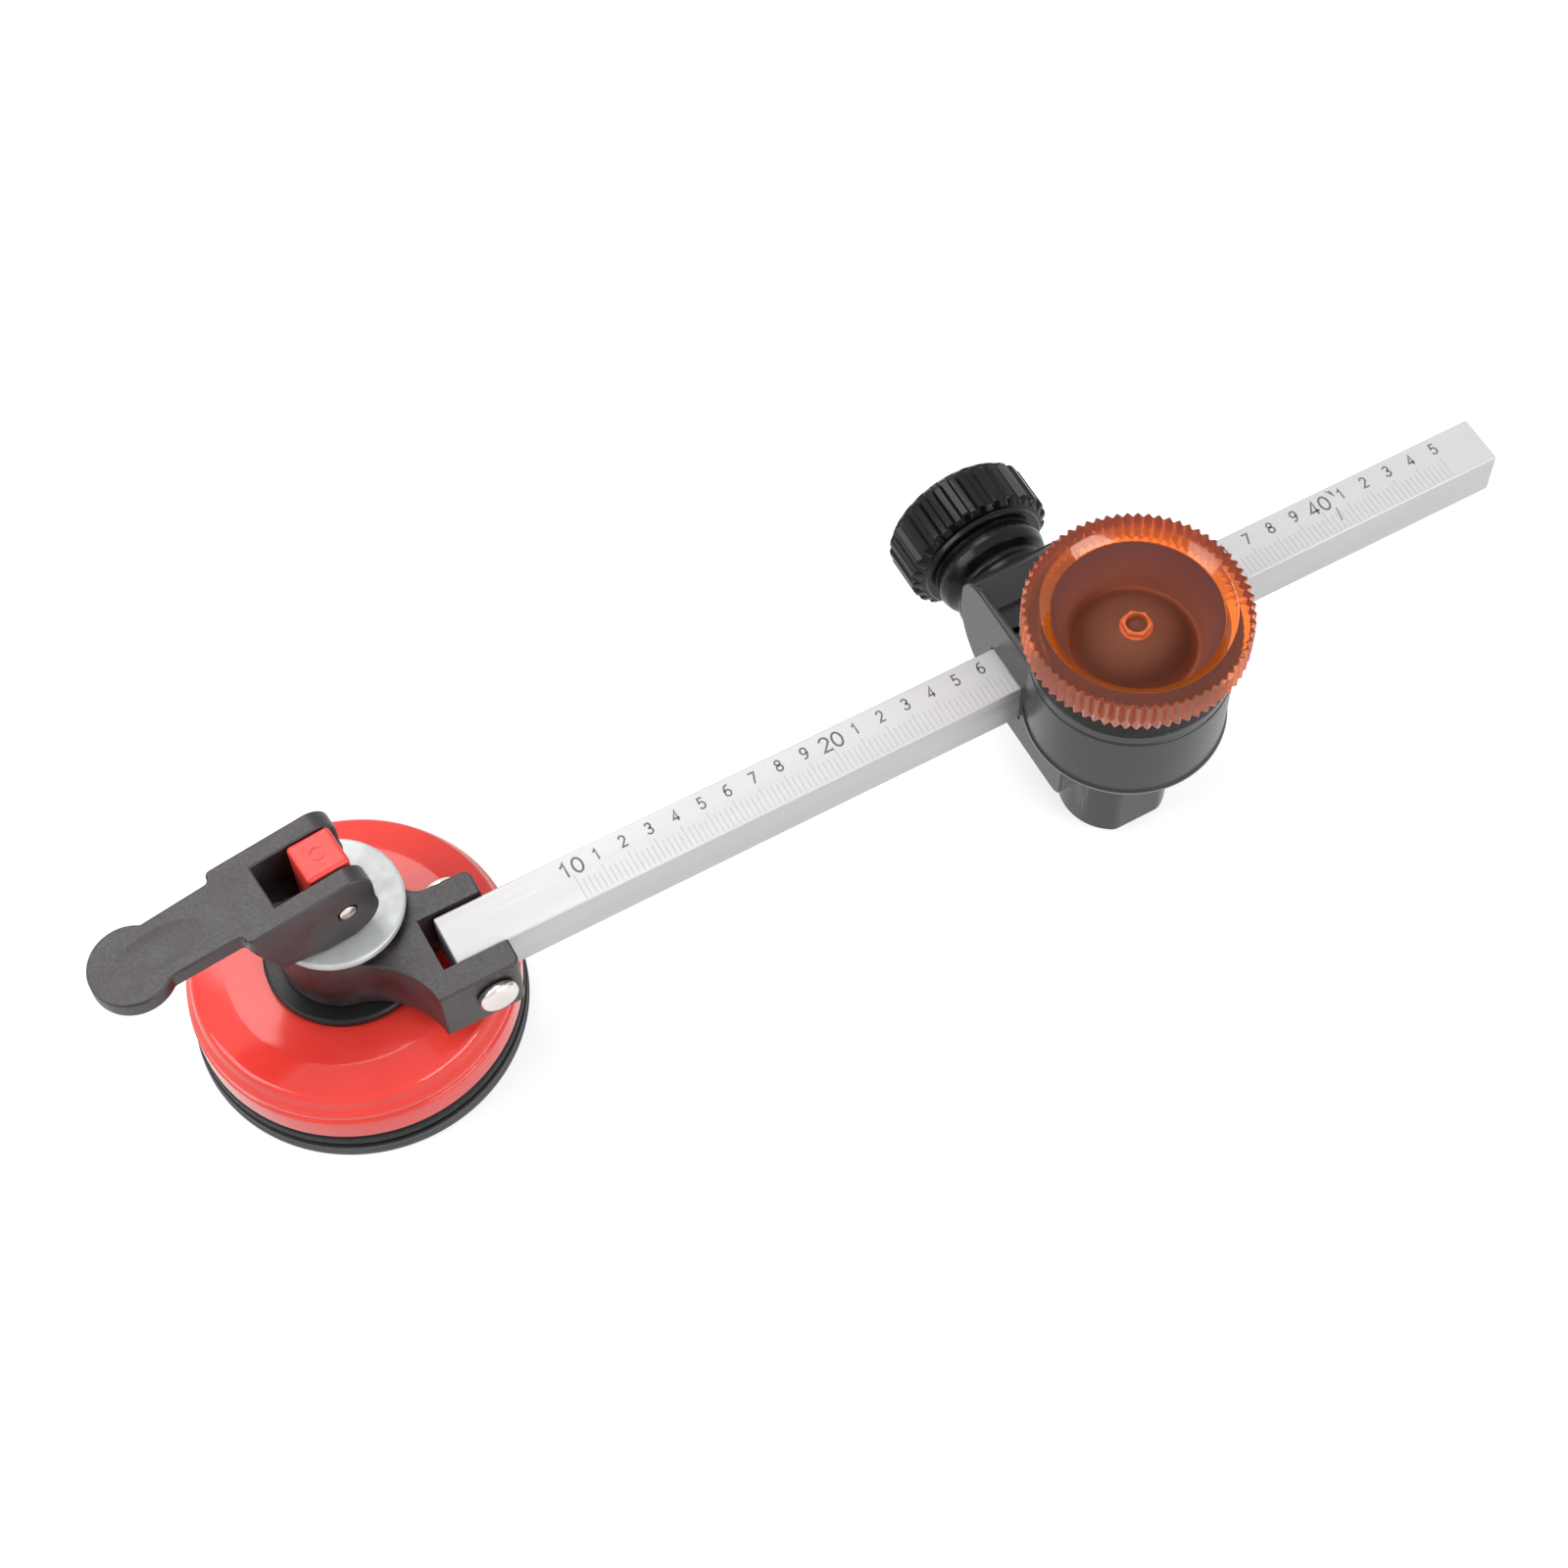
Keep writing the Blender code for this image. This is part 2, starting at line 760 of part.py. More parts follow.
def lever_paddle():
    """Handle plate: neck, waist and round end, dropping a little towards its end."""
    neck = lever_neck_width / 2
    waist = lever_waist_width / 2
    inner = -lever_body_back + lever_thickness
    waist_x = -lever_end_reach + lever_end_radius
    open_angle = math.degrees(math.asin(waist / lever_end_radius))
    outline = [(inner, -neck), (inner, neck), (-lever_body_back - lever_thickness, neck)]
    outline += [(waist_x, waist)]
    outline += arc((-lever_end_reach, 0), lever_end_radius, open_angle, 360 - open_angle, arc_points * 2)
    outline += [(waist_x, -waist), (-lever_body_back - lever_thickness, -neck)]
    paddle = prism("lever_paddle", outline, -lever_thickness, 0, cutter=True)
    slope = math.atan2(lever_end_drop, lever_end_reach)
    turn = Matrix.Rotation(-slope, 4, "Y")
    place(paddle, (0, 0, lever_top), turn)
    bevel(paddle, hub_chamfer)
    return paddle


def build_lever_pin(holder):
    """Steel cross pin through lever and plunger."""
    half = lever_width / 2 + lever_pin_proud
    chamfer = lever_pin_proud
    profile = [
        (0, -half),
        (lever_pin_radius - chamfer, -half),
        (lever_pin_radius, -half + chamfer),
        (lever_pin_radius, half - chamfer),
        (lever_pin_radius - chamfer, half),
        (0, half),
    ]
    pin = turned("lever_pin", profile, steel(), small_steps)
    place(pin, (0, 0, pin_height), along_y)
    pin.rotation_euler = (0, 0, math.radians(lever_turn_degrees))
    return parent(pin, holder)


def block_outline():
    """Side outline of the bar guide: (y, z), rounded at the rear and the upper rear corner."""
    front = tank_y - tank_radius + block_front
    rear_centre = (block_rear - block_rear_radius, bar_middle + block_rear_level)
    top_centre = (block_rear - block_top_radius, block_top - block_top_radius)
    outline = [(front, block_top), (front, block_bottom), (-bar_offset - block_keel_back, block_bottom)]
    outline += arc(rear_centre, block_rear_radius, -block_rear_degrees, 0, arc_points)
    outline += arc(top_centre, block_top_radius, 0, 90, arc_points // 2)
    return outline


def build_head_body(holder):
    """Tank, bar guide and nose in one moulding."""
    tank = turned("head_body", tank_profile(), charcoal_plastic(), large_steps)
    place(tank, (tank_x, tank_y, 0))
    turn = Matrix(((0, 0, 1, 0), (1, 0, 0, 0), (0, 1, 0, 0), (0, 0, 0, 1)))
    block = prism("head_block", block_outline(), head_left, head_left + head_width, cutter=True)
    place(block, turn=turn)
    steps = []
    for start, depth in zip(block_step_starts, block_step_depths):
        low = (head_left + block_lip_width, tank_y, block_top - depth)
        high = (head_left + head_width + overrun, block_rear - start + gap, block_top + overrun)
        steps.append(box(f"head_step_cut_{len(steps) + 1}", low, high, cutter=True))
    boss_profile = rod(insert_boss_radius, bar_back + shoe_room(), block_rear)
    boss = turned("head_insert_boss", boss_profile, cutter=True)
    place(boss, (knob_x, 0, bar_middle), along_y)
    combine(block, steps)
    combine(tank, [block, boss, nose_block()], "UNION")
    combine(tank, head_cuts())
    return parent(tank, holder)


def tank_profile():
    """Outer profile of the tank, with a step under the seal."""
    step_radius = tank_radius - rim_step
    step_height = rim_top - rim_step_height
    return [
        (0, tank_bottom),
        (tank_radius - gap, tank_bottom),
        (tank_radius, tank_bottom + gap),
        (tank_radius, step_height),
        (step_radius, step_height),
        (step_radius, rim_top),
        (0, rim_top),
    ]


def nose_block():
    """Round nose with a flat front."""
    half_angle = math.degrees(math.acos(nose_flat / nose_radius))
    outline = arc((-nose_shift, 0), nose_radius, -90 + half_angle, 270 - half_angle, arc_points * 3)
    nose = prism("head_nose", outline, nose_bottom, tank_bottom + overrun, cutter=True)
    place(nose, (tank_x, tank_y, 0))
    return bevel(nose, gap * 2)


def head_cuts():
    """Everything that is hollow in the head."""
    tank_profile_cut = rod(tank_bore_radius, tank_floor, rim_top + overrun)
    tank = turned("head_tank_cut", tank_profile_cut, steps=large_steps, cutter=True)
    bush_profile = rod(bush_radius + gap, nose_bottom - overrun, holder_shoulder + gap)
    bush = turned("head_bush_cut", bush_profile, cutter=True)
    stem_profile = rod(holder_stem_radius + gap, nose_bottom, tank_floor + overrun)
    stem = turned("head_stem_cut", stem_profile, cutter=True)
    for item in (tank, bush, stem):
        place(item, (tank_x, tank_y, 0))
    half = tunnel_side / 2
    tunnel_low = (head_left - overrun, -bar_offset - half, bar_middle - half)
    tunnel_high = (head_left + head_width + tank_radius, -bar_offset + half, bar_middle + half)
    tunnel = box("head_tunnel_cut", tunnel_low, tunnel_high, cutter=True)
    room = shoe_width / 2 + gap
    shoe_end = bar_back + shoe_room()
    shoe_low = (knob_x - room, -bar_offset, bar_middle - room)
    shoe = box("head_shoe_cut", shoe_low, (knob_x + room, shoe_end, bar_middle + room), cutter=True)
    insert_profile = rod(insert_radius + gap, shoe_end - gap, block_rear + overrun)
    insert = turned("head_insert_cut", insert_profile, cutter=True)
    place(insert, (knob_x, 0, bar_middle), along_y)
    return [tank, bush, stem, tunnel, shoe, insert]


def shoe_room():
    """Depth of the shoe's pocket behind the bar."""
    return gap + shoe_thickness + shoe_travel + gap


def rod(radius, low, high):
    """Plain cylinder profile."""
    return [(0, low), (radius, low), (radius, high), (0, high)]


def toothed_outline(outer, depth, count, flat_share=0.0):
    """Round outline with teeth, pointed or with a flat land on top and in the valley."""
    marks = [(0, outer), (0.5, outer - depth)]
    if flat_share:
        marks = [(0, outer), (flat_share, outer), (0.5, outer - depth), (0.5 + flat_share, outer - depth)]
    outline = []
    for index in range(count):
        for share, radius in marks:
            angle = math.tau * (index + share) / count
            outline.append((radius * math.cos(angle), radius * math.sin(angle)))
    return outline


def build_oil_cap(holder):
    """Plug shaped cap: toothed flange, sloped rim, deep well and a small hexagonal boss."""
    outline = toothed_outline(cap_radius, cap_tooth_depth, cap_tooth_count)
    cap = prism("oil_cap", outline, cap_bottom, cap_top - cap_rim_radius, orange_plastic())
    place(cap, (tank_x, tank_y, 0))
    rim_outer = cap_radius - cap_tooth_depth
    profile = cap_floor(-cap_floor_thickness) + [
        (cap_plug_radius, cap_well_floor - cap_floor_thickness),
        (cap_plug_radius, cap_bottom + gap),
        (rim_outer - cap_rim_radius, cap_bottom + gap),
        (rim_outer - cap_rim_radius / 2, cap_top - cap_rim_radius),
        (rim_outer - cap_rim_radius, cap_top),
        (0, cap_top),
    ]
    plug = turned("cap_plug", profile, steps=large_steps, cutter=True)
    rim_inner = rim_outer - cap_rim_width
    well_profile = cap_floor(0) + [
        (cap_well_radius, cap_top - cap_slope_drop),
        (rim_inner, cap_top),
        (rim_inner + overrun, cap_top + overrun),
        (0, cap_top + overrun),
    ]
    well = turned("cap_well_cut", well_profile, steps=large_steps, cutter=True)
    boss_low = cap_well_floor + cap_floor_rise - cap_boss_height
    boss_high = boss_low + cap_boss_height * 2
    boss_outline = arc((0, 0), cap_boss_radius, 0, 360, cap_boss_sides)[:-1]
    boss = prism("cap_boss", boss_outline, boss_low, boss_high, cutter=True)
    dip_profile = rod(cap_boss_bore, boss_low, boss_high + overrun)
    dip = turned("cap_boss_cut", dip_profile, steps=small_steps, cutter=True)
    for item in (plug, well, boss, dip):
        place(item, (tank_x, tank_y, 0))
    combine(cap, [plug], "UNION")
    combine(cap, [well])
    combine(cap, [boss], "UNION")
    combine(cap, [dip])
    return parent(cap, holder)


def cap_floor(shift):
    """Profile of the well's crowned floor, from the axis out to its edge."""
    points = [(0, cap_well_floor + cap_floor_rise + shift)]
    for index in range(1, cap_floor_points + 1):
        share = index / cap_floor_points
        points.append((cap_floor_radius * share, cap_well_floor + cap_floor_rise * (1 - share ** 2) + shift))
    return points


def build_cap_seal(holder):
    """Rubber collar over the rim of the tank, with a lip under the cap."""
    inner = tank_radius - rim_step + gap
    profile = [
        (inner, seal_bottom),
        (seal_radius, seal_bottom),
        (seal_radius, seal_top),
        (tank_bore_radius, seal_top),
        (tank_bore_radius, rim_top + gap),
        (inner, rim_top + gap),
    ]
    seal = turned("cap_seal", profile, black_rubber(), large_steps)
    place(seal, (tank_x, tank_y, 0))
    return parent(seal, holder)


def build_oil_wick(holder):
    """Felt ring on the tank floor."""
    inner = clip_radius + gap
    low = tank_floor + gap
    high = low + wick_height
    profile = [(inner, low), (wick_radius, low), (wick_radius, high), (inner, high)]
    wick = turned("oil_wick", profile, felt(), medium_steps)
    place(wick, (tank_x, tank_y, 0))
    return parent(wick, holder)


def build_holder_bush(holder):
    """Brass bush in the nose."""
    inner = holder_radius + gap
    low = bush_bottom
    high = holder_shoulder
    profile = [(inner, low), (bush_radius, low), (bush_radius, high), (inner, high)]
    bush = turned("holder_bush", profile, brass(), medium_steps)
    place(bush, (tank_x, tank_y, 0))
    return parent(bush, holder)


def build_wheel_holder(holder):
    """Steel holder that swivels in the bush, slotted for the wheel."""
    groove_low = clip_bottom
    groove_high = clip_top + gap * 2
    groove_radius = holder_stem_radius - clip_groove_depth
    stem_top = tank_floor + holder_stem_rise
    profile = [
        (0, holder_bottom),
        (holder_radius - holder_chamfer, holder_bottom),
        (holder_radius, holder_bottom + holder_chamfer),
        (holder_radius, holder_shoulder - gap),
        (holder_stem_radius, holder_shoulder - gap),
        (holder_stem_radius, groove_low),
        (groove_radius, groove_low),
        (groove_radius, groove_high),
        (holder_stem_radius, groove_high),
        (holder_stem_radius, stem_top),
        (0, stem_top),
    ]
    body = turned("wheel_holder", profile, steel(), small_steps)
    half = holder_slot_width / 2
    reach = holder_radius + overrun
    slot_low = (-half, -reach, holder_bottom - overrun)
    slot = box("holder_slot_cut", slot_low, (half, reach, holder_bottom + holder_slot_height), cutter=True)
    axle_hole = pin_profile(axle_radius + wheel_gap, reach * 2)
    axle = turned("holder_axle_cut", axle_hole, steps=small_steps, cutter=True)
    place(body, (tank_x, tank_y, 0))
    place(slot, (tank_x, tank_y, 0))
    place(axle, (tank_x, tank_y, wheel_radius), along_x)
    combine(body, [slot, axle])
    return parent(body, holder)


def build_holder_clip(holder):
    """Snap ring in the holder's groove, inside the tank."""
    inner = holder_stem_radius - clip_groove_depth + gap
    low = clip_bottom + gap
    profile = [(inner, low), (clip_radius, low), (clip_radius, clip_top), (inner, clip_top)]
    clip = turned("holder_clip", profile, steel(), small_steps)
    place(clip, (tank_x, tank_y, 0))
    return parent(clip, holder)


def build_wheel(holder):
    """Hard wheel with a sharp rim, and its axle."""
    half = wheel_thickness / 2
    edge = wheel_edge_width / 2
    bore = axle_radius + wheel_gap
    profile = [
        (bore, -half),
        (wheel_radius - wheel_flank, -half),
        (wheel_radius, -edge),
        (wheel_radius, edge),
        (wheel_radius - wheel_flank, half),
        (bore, half),
    ]
    wheel = turned("cutting_wheel", profile, steel(), medium_steps)
    place(wheel, (tank_x, tank_y, wheel_radius), along_x)
    axle_length = (math.sqrt(holder_radius ** 2 - axle_radius ** 2) - axle_inset) * 2
    axle = turned("wheel_axle", pin_profile(axle_radius, axle_length), steel(), small_steps)
    place(axle, (tank_x, tank_y, wheel_radius), along_x)
    return parent(wheel, holder), parent(axle, holder)


def build_clamp_knob(holder):
    """Ribbed knob with a stepped hub that meets the head."""
    end = knob_start + knob_rim_length
    outline = toothed_outline(knob_radius, knob_groove_depth, knob_rib_count, knob_rib_share)
    knob = prism("clamp_knob", outline, knob_start, end, black_plastic())
    place(knob, (knob_x, 0, bar_middle), along_y)
    start = block_rear + gap
    core_radius = knob_radius - knob_groove_depth
    step_end = knob_start - knob_step_length
    groove_end = step_end - knob_groove_length
    drum_end = groove_end - knob_drum_length
    profile = [
        (stud_radius + gap, start),
        (knob_base_radius, start),
        (knob_base_radius, start + knob_base_length),
        (knob_neck_radius, start + knob_base_length * 2),
        (knob_neck_radius, drum_end - knob_base_length),
        (knob_drum_radius - knob_groove_depth, drum_end),
        (knob_drum_radius, drum_end + knob_base_length),
        (knob_drum_radius, groove_end - gap),
        (knob_groove_radius, groove_end),
        (knob_groove_radius, step_end),
        (knob_step_radius - gap, step_end),
        (knob_step_radius, step_end + gap),
        (knob_step_radius, knob_start),
        (core_radius - knob_edge_chamfer, knob_start),
        (core_radius - gap, knob_start + knob_edge_chamfer),
        (core_radius - gap, end - gap),
        (knob_face_radius, end - gap),
        (knob_face_radius - knob_face_dish, end - knob_face_dish),
        (stud_head_radius + gap, end - knob_face_dish),
        (stud_head_radius + gap, end - knob_face_dish - stud_head_height - gap),
        (stud_radius + gap, end - knob_face_dish - stud_head_height - gap),
    ]
    core = turned("knob_core", profile, steps=large_steps, cutter=True)
    inner = turned(
        "knob_face_cut",
        rod(knob_face_radius - knob_face_dish, knob_start - overrun, end + overrun),
        steps=large_steps,
        cutter=True,
    )
    edge = turned("knob_edge_cut", knob_edge_ring(end), steps=large_steps, cutter=True)
    for item in (core, inner, edge):
        place(item, (knob_x, 0, bar_middle), along_y)
    combine(knob, [inner, edge])
    combine(knob, [core], "UNION")
    return parent(knob, holder)


def knob_edge_ring(end):
    """Ring shaped cutter that chamfers the outer edge of the ribs."""
    return [
        (knob_radius - knob_edge_chamfer, end + gap),
        (knob_radius + overrun, end - knob_edge_chamfer - overrun),
        (knob_radius + overrun, end + overrun),
        (knob_radius - knob_edge_chamfer, end + overrun),
    ]


def build_clamp_stud(holder):
    """Screw with a hexagonal head set in the knob."""
    end = knob_start + knob_rim_length - knob_face_dish
    tip = bar_back + gap + shoe_thickness + gap
    stud = turned("clamp_stud", rod(stud_radius, tip, end - stud_head_height / 2), steel(), medium_steps)
    place(stud, (knob_x, 0, bar_middle), along_y)
    outline = arc((0, 0), stud_head_radius - gap, 0, 360, stud_head_sides)[:-1]
    head = prism("stud_head", outline, end - stud_head_height, end, cutter=True)
    place(head, (knob_x, 0, bar_middle), along_y)
    combine(stud, [head], "UNION")
    return parent(stud, holder)


def build_threaded_insert(holder):
    """Brass nut pressed into the head."""
    inner = stud_radius + gap
    low = bar_back + shoe_room()
    high = block_rear - gap
    profile = [(inner, low), (insert_radius, low), (insert_radius, high), (inner, high)]
    insert = turned("threaded_insert", profile, brass(), medium_steps)
    place(insert, (knob_x, 0, bar_middle), along_y)
    return parent(insert, holder)


def build_clamp_shoe(holder):
    """Steel plate between stud and bar."""
    half = shoe_width / 2
    low = (knob_x - half, bar_back + gap, bar_middle - half)
    high = (knob_x + half, bar_back + gap + shoe_thickness, bar_middle + half)
    shoe = box("clamp_shoe", low, high, steel())
    return parent(shoe, holder)


def build_cup():
    """Suction cup with its plunger and lever."""
    build_suction_pad()
    build_cup_shell()
    build_bearing_ring()
    build_cam_washer()
    plunger_pivot = pivot("plunger_pivot", (0, 0, 0))
    build_plunger(plunger_pivot)
    lever_pivot = parent(pivot("lever_pivot", (0, 0, pin_height), lever_turn_degrees), plunger_pivot)
    build_cam_lever(lever_pivot)
    build_lever_pin(lever_pivot)


def build_arm():
    """Arm, fork pin and bar; returns the bar's pivot."""
    arm_pivot = pivot("arm_pivot", (0, 0, 0))
    parent(build_swing_arm(), arm_pivot)
    build_bar_pin(arm_pivot)
    bar_pivot = parent(pivot("bar_pivot", (bar_pin_x, -bar_offset, bar_middle)), arm_pivot)
    build_scale_bar(bar_pivot)
    return bar_pivot


def build_head(bar_pivot):
    """Cutting head with cap, clamp and wheel."""
    head_pivot = parent(pivot("head_pivot", (tank_x, tank_y, bar_middle)), bar_pivot)
    build_head_body(head_pivot)
    build_oil_wick(head_pivot)
    build_holder_bush(head_pivot)
    build_threaded_insert(head_pivot)
    cap_pivot = parent(pivot("cap_pivot", (tank_x, tank_y, cap_bottom)), head_pivot)
    build_cap_seal(cap_pivot)
    build_oil_cap(cap_pivot)
    swivel_pivot = parent(pivot("swivel_pivot", (tank_x, tank_y, 0)), head_pivot)
    build_wheel_holder(swivel_pivot)
    build_holder_clip(swivel_pivot)
    build_wheel(swivel_pivot)
    clamp_pivot = parent(pivot("clamp_pivot", (knob_x, bar_back, bar_middle)), head_pivot)
    build_clamp_shoe(clamp_pivot)
    build_clamp_knob(clamp_pivot)
    build_clamp_stud(clamp_pivot)


def main():
    clear_scene()
    build_cup()
    build_head(build_arm())


main()
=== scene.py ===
import math

import bmesh
import bpy
from mathutils import Matrix, Vector


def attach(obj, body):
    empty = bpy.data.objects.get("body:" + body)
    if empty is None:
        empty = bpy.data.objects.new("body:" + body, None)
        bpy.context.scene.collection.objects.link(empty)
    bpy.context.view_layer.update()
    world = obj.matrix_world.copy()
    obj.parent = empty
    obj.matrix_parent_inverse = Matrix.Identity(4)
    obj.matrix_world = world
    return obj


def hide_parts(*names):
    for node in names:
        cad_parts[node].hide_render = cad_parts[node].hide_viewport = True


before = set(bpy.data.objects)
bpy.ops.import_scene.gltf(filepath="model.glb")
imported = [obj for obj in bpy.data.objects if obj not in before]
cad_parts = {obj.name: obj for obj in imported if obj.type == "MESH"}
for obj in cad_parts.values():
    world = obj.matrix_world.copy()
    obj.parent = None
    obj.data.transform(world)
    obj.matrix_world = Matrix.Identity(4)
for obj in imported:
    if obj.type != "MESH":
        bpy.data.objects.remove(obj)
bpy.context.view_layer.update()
mm = 0.001
print("frame loaded:", len(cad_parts), "nodes")


# Shapes from outlines

def roundLoop(points, segments=4):
    # points are (x, y) or (x, y, corner radius) in millimetres
    tiny, nearlyStraight, edgeShare = 1e-6, 0.02, 0.49
    loop = []
    count = len(points)
    for index, point in enumerate(points):
        here = Vector(point[:2])
        radius = point[2] if len(point) > 2 else 0
        before = Vector(points[index - 1][:2]) - here
        after = Vector(points[(index + 1) % count][:2]) - here
        flat = min(before.length, after.length) < tiny or before.angle(after) > math.pi - nearlyStraight
        if radius <= 0 or flat:
            loop.append(tuple(here))
            continue
        half = before.angle(after) / 2
        reach = min(radius / math.tan(half), before.length * edgeShare, after.length * edgeShare)
        radius = reach * math.tan(half)
        inward = (before.normalized() + after.normalized()).normalized()
        middle = here + inward * (radius / math.sin(half))
        first = here + before.normalized() * reach - middle
        last = here + after.normalized() * reach - middle
        sweep = first.angle_signed(last)
        start = math.atan2(first.y, first.x)
        for step in range(segments + 1):
            angle = start - sweep * step / segments
            loop.append((middle.x + radius * math.cos(angle), middle.y + radius * math.sin(angle)))
    return loop


def ovalPoints(cx, cy, rx, ry, startDeg, endDeg, count=22):
    # a full turn leaves out its last point, which is its first
    spots = []
    for step in range(count + (abs(endDeg - startDeg) < 360)):
        angle = math.radians(startDeg + (endDeg - startDeg) * step / count)
        spots.append((cx + rx * math.cos(angle), cy + ry * math.sin(angle)))
    return spots


def arcPoints(cx, cy, radius, startDeg, endDeg, count):
    return ovalPoints(cx, cy, radius, radius, startDeg, endDeg, count)


def smoothMesh(mesh, sharpDeg):
    mesh.shade_smooth()
    mesh.set_sharp_from_angle(angle=math.radians(sharpDeg))


def newObject(name, data):
    item = bpy.data.objects.new(name, data)
    bpy.context.scene.collection.objects.link(item)
    return item


def meshObject(name, bm, sharpDeg=32):
    bmesh.ops.remove_doubles(bm, verts=bm.verts[:], dist=1e-7)
    bmesh.ops.recalc_face_normals(bm, faces=bm.faces[:])
    mesh = bpy.data.meshes.new(name)
    bm.to_mesh(mesh)
    bm.free()
    smoothMesh(mesh, sharpDeg)
    return newObject(name, mesh)


def lathe(name, loop, steps=160, turn=0.0, weights=None, sharpDeg=32):
    # closed loop of (radius, height) in millimetres round Z; weights go into a vertex attribute
    onAxis = 1e-4
    bm = bmesh.new()
    layer = bm.verts.layers.float.new("toothWeight") if weights else None
    rings = []
    for index, (radius, height) in enumerate(loop):
        ring = []
        for step in range(1 if radius < onAxis else steps):
            angle = turn + math.tau * step / steps
            vert = bm.verts.new((radius * mm * math.cos(angle), radius * mm * math.sin(angle), height * mm))
            if layer:
                vert[layer] = weights[index]
            ring.append(vert)
        rings.append(ring)
    for ring, other in zip(rings, rings[1:] + rings[:1]):
        if len(ring) == 1 and len(other) == 1:
            continue
        for step in range(steps):
            ahead = (step + 1) % steps
            corners = [ring[step % len(ring)], ring[ahead % len(ring)],
                       other[ahead % len(other)], other[step % len(other)]]
            bm.faces.new(list(dict.fromkeys(corners)))
    return meshObject(name, bm, sharpDeg)


def rod(name, radius, low, high, steps=64, chamfer=0.0):
    return lathe(name, roundLoop([(0, low), (radius, low, chamfer), (radius, high, chamfer), (0, high)]), steps)


def prism(name, loop, low, high):
    bm = bmesh.new()
    face = bm.faces.new([bm.verts.new((x * mm, y * mm, low * mm)) for x, y in loop])
    grown = bmesh.ops.extrude_face_region(bm, geom=[face])
    moved = [part for part in grown["geom"] if isinstance(part, bmesh.types.BMVert)]
    bmesh.ops.translate(bm, verts=moved, vec=(0, 0, (high - low) * mm))
    return meshObject(name, bm)


def block(name, low, high):
    corners = [(low[0], low[1]), (high[0], low[1]), (high[0], high[1]), (low[0], high[1])]
    return prism(name, corners, low[2], high[2])


def shift(item, x=0.0, y=0.0, z=0.0, turn=None):
    if turn is not None:
        item.data.transform(turn)
    item.data.transform(Matrix.Translation((x * mm, y * mm, z * mm)))
    return item


def bakeModifiers(item):
    graph = bpy.context.evaluated_depsgraph_get()
    graph.update()
    baked = bpy.data.meshes.new_from_object(item.evaluated_get(graph))
    old = item.data
    item.modifiers.clear()
    item.data = baked
    baked.name = item.name
    bpy.data.meshes.remove(old)
    return item


def carve(item, tools, operation="DIFFERENCE"):
    for tool in tools:
        change = item.modifiers.new(tool.name, "BOOLEAN")
        change.operation = operation
        change.solver = "MANIFOLD"
        change.object = tool
    bakeModifiers(item)
    for tool in tools:
        bpy.data.objects.remove(tool, do_unlink=True)
    return item


def weldPlanes(item):
    # merges doubles and dissolves the flat splits that a Boolean leaves
    mergeReach, flatDeg = 2e-6, 0.4
    bm = bmesh.new()
    bm.from_mesh(item.data)
    bmesh.ops.remove_doubles(bm, verts=bm.verts[:], dist=mergeReach)
    bmesh.ops.dissolve_limit(bm, angle_limit=math.radians(flatDeg), verts=bm.verts[:], edges=bm.edges[:])
    bmesh.ops.recalc_face_normals(bm, faces=bm.faces[:])
    bm.to_mesh(item.data)
    bm.free()
    return item


def smoothFlats(item, angleDeg=50):
    # large flat faces keep their own normal
    smoothMesh(item.data, angleDeg)
    change = item.modifiers.new("flats", "WEIGHTED_NORMAL")
    change.keep_sharp = True
    change.weight = 90
    return bakeModifiers(item)


def softenEdges(item, width, segments=3, angleDeg=32, clamp=True):
    change = item.modifiers.new("edges", "BEVEL")
    change.width = width * mm
    change.segments = segments
    change.limit_method = "ANGLE"
    change.angle_limit = math.radians(angleDeg)
    change.use_clamp_overlap = clamp
    bakeModifiers(item)
    return smoothFlats(weldPlanes(item))


# Nodes

def setInputs(tree, node, values):
    # a socket among the values is linked, anything else is set
    for key, value in values.items():
        if isinstance(value, bpy.types.NodeSocket):
            tree.links.new(value, node.inputs[key])
        else:
            node.inputs[key].default_value = value
    return node


def addNode(tree, kind, values=None, **settings):
    node = tree.nodes.new(kind)
    for name, value in settings.items():
        setattr(node, name, value)
    return setInputs(tree, node, values or {})


def calc(tree, operation, *values):
    return addNode(tree, "ShaderNodeMath", dict(enumerate(values)), operation=operation).outputs[0]


def product(tree, first, *others):
    for other in others:
        first = calc(tree, "MULTIPLY", first, other)
    return first


def inverse(tree, value):
    return calc(tree, "SUBTRACT", 1.0, value)


def rangeNode(tree, source, low, high, fromLow=0.3, fromHigh=0.7):
    values = {"Value": source, "To Min": low, "To Max": high, "From Min": fromLow, "From Max": fromHigh}
    return addNode(tree, "ShaderNodeMapRange", values).outputs["Result"]


def mixNode(tree, factor, first, second):
    # a colour is three numbers or another node's output
    first, second = [(*colour, 1) if isinstance(colour, tuple) else colour for colour in (first, second)]
    return addNode(tree, "ShaderNodeMix", {0: factor, 6: first, 7: second}, data_type="RGBA").outputs[2]


def partCoords(tree):
    return addNode(tree, "ShaderNodeTexCoord").outputs["Object"]


def noiseNode(tree, scale, detail, stretch=(1, 1, 1)):
    mapping = addNode(tree, "ShaderNodeMapping", {"Vector": partCoords(tree), "Scale": stretch})
    values = {"Vector": mapping.outputs["Vector"], "Scale": scale, "Detail": detail}
    return addNode(tree, "ShaderNodeTexNoise", values).outputs["Fac"]


def bumpNode(tree, height, strength, depth):
    return addNode(tree, "ShaderNodeBump", {"Height": height, "Strength": strength, "Distance": depth})


def partSpot(tree):
    return addNode(tree, "ShaderNodeSeparateXYZ", {0: partCoords(tree)}).outputs


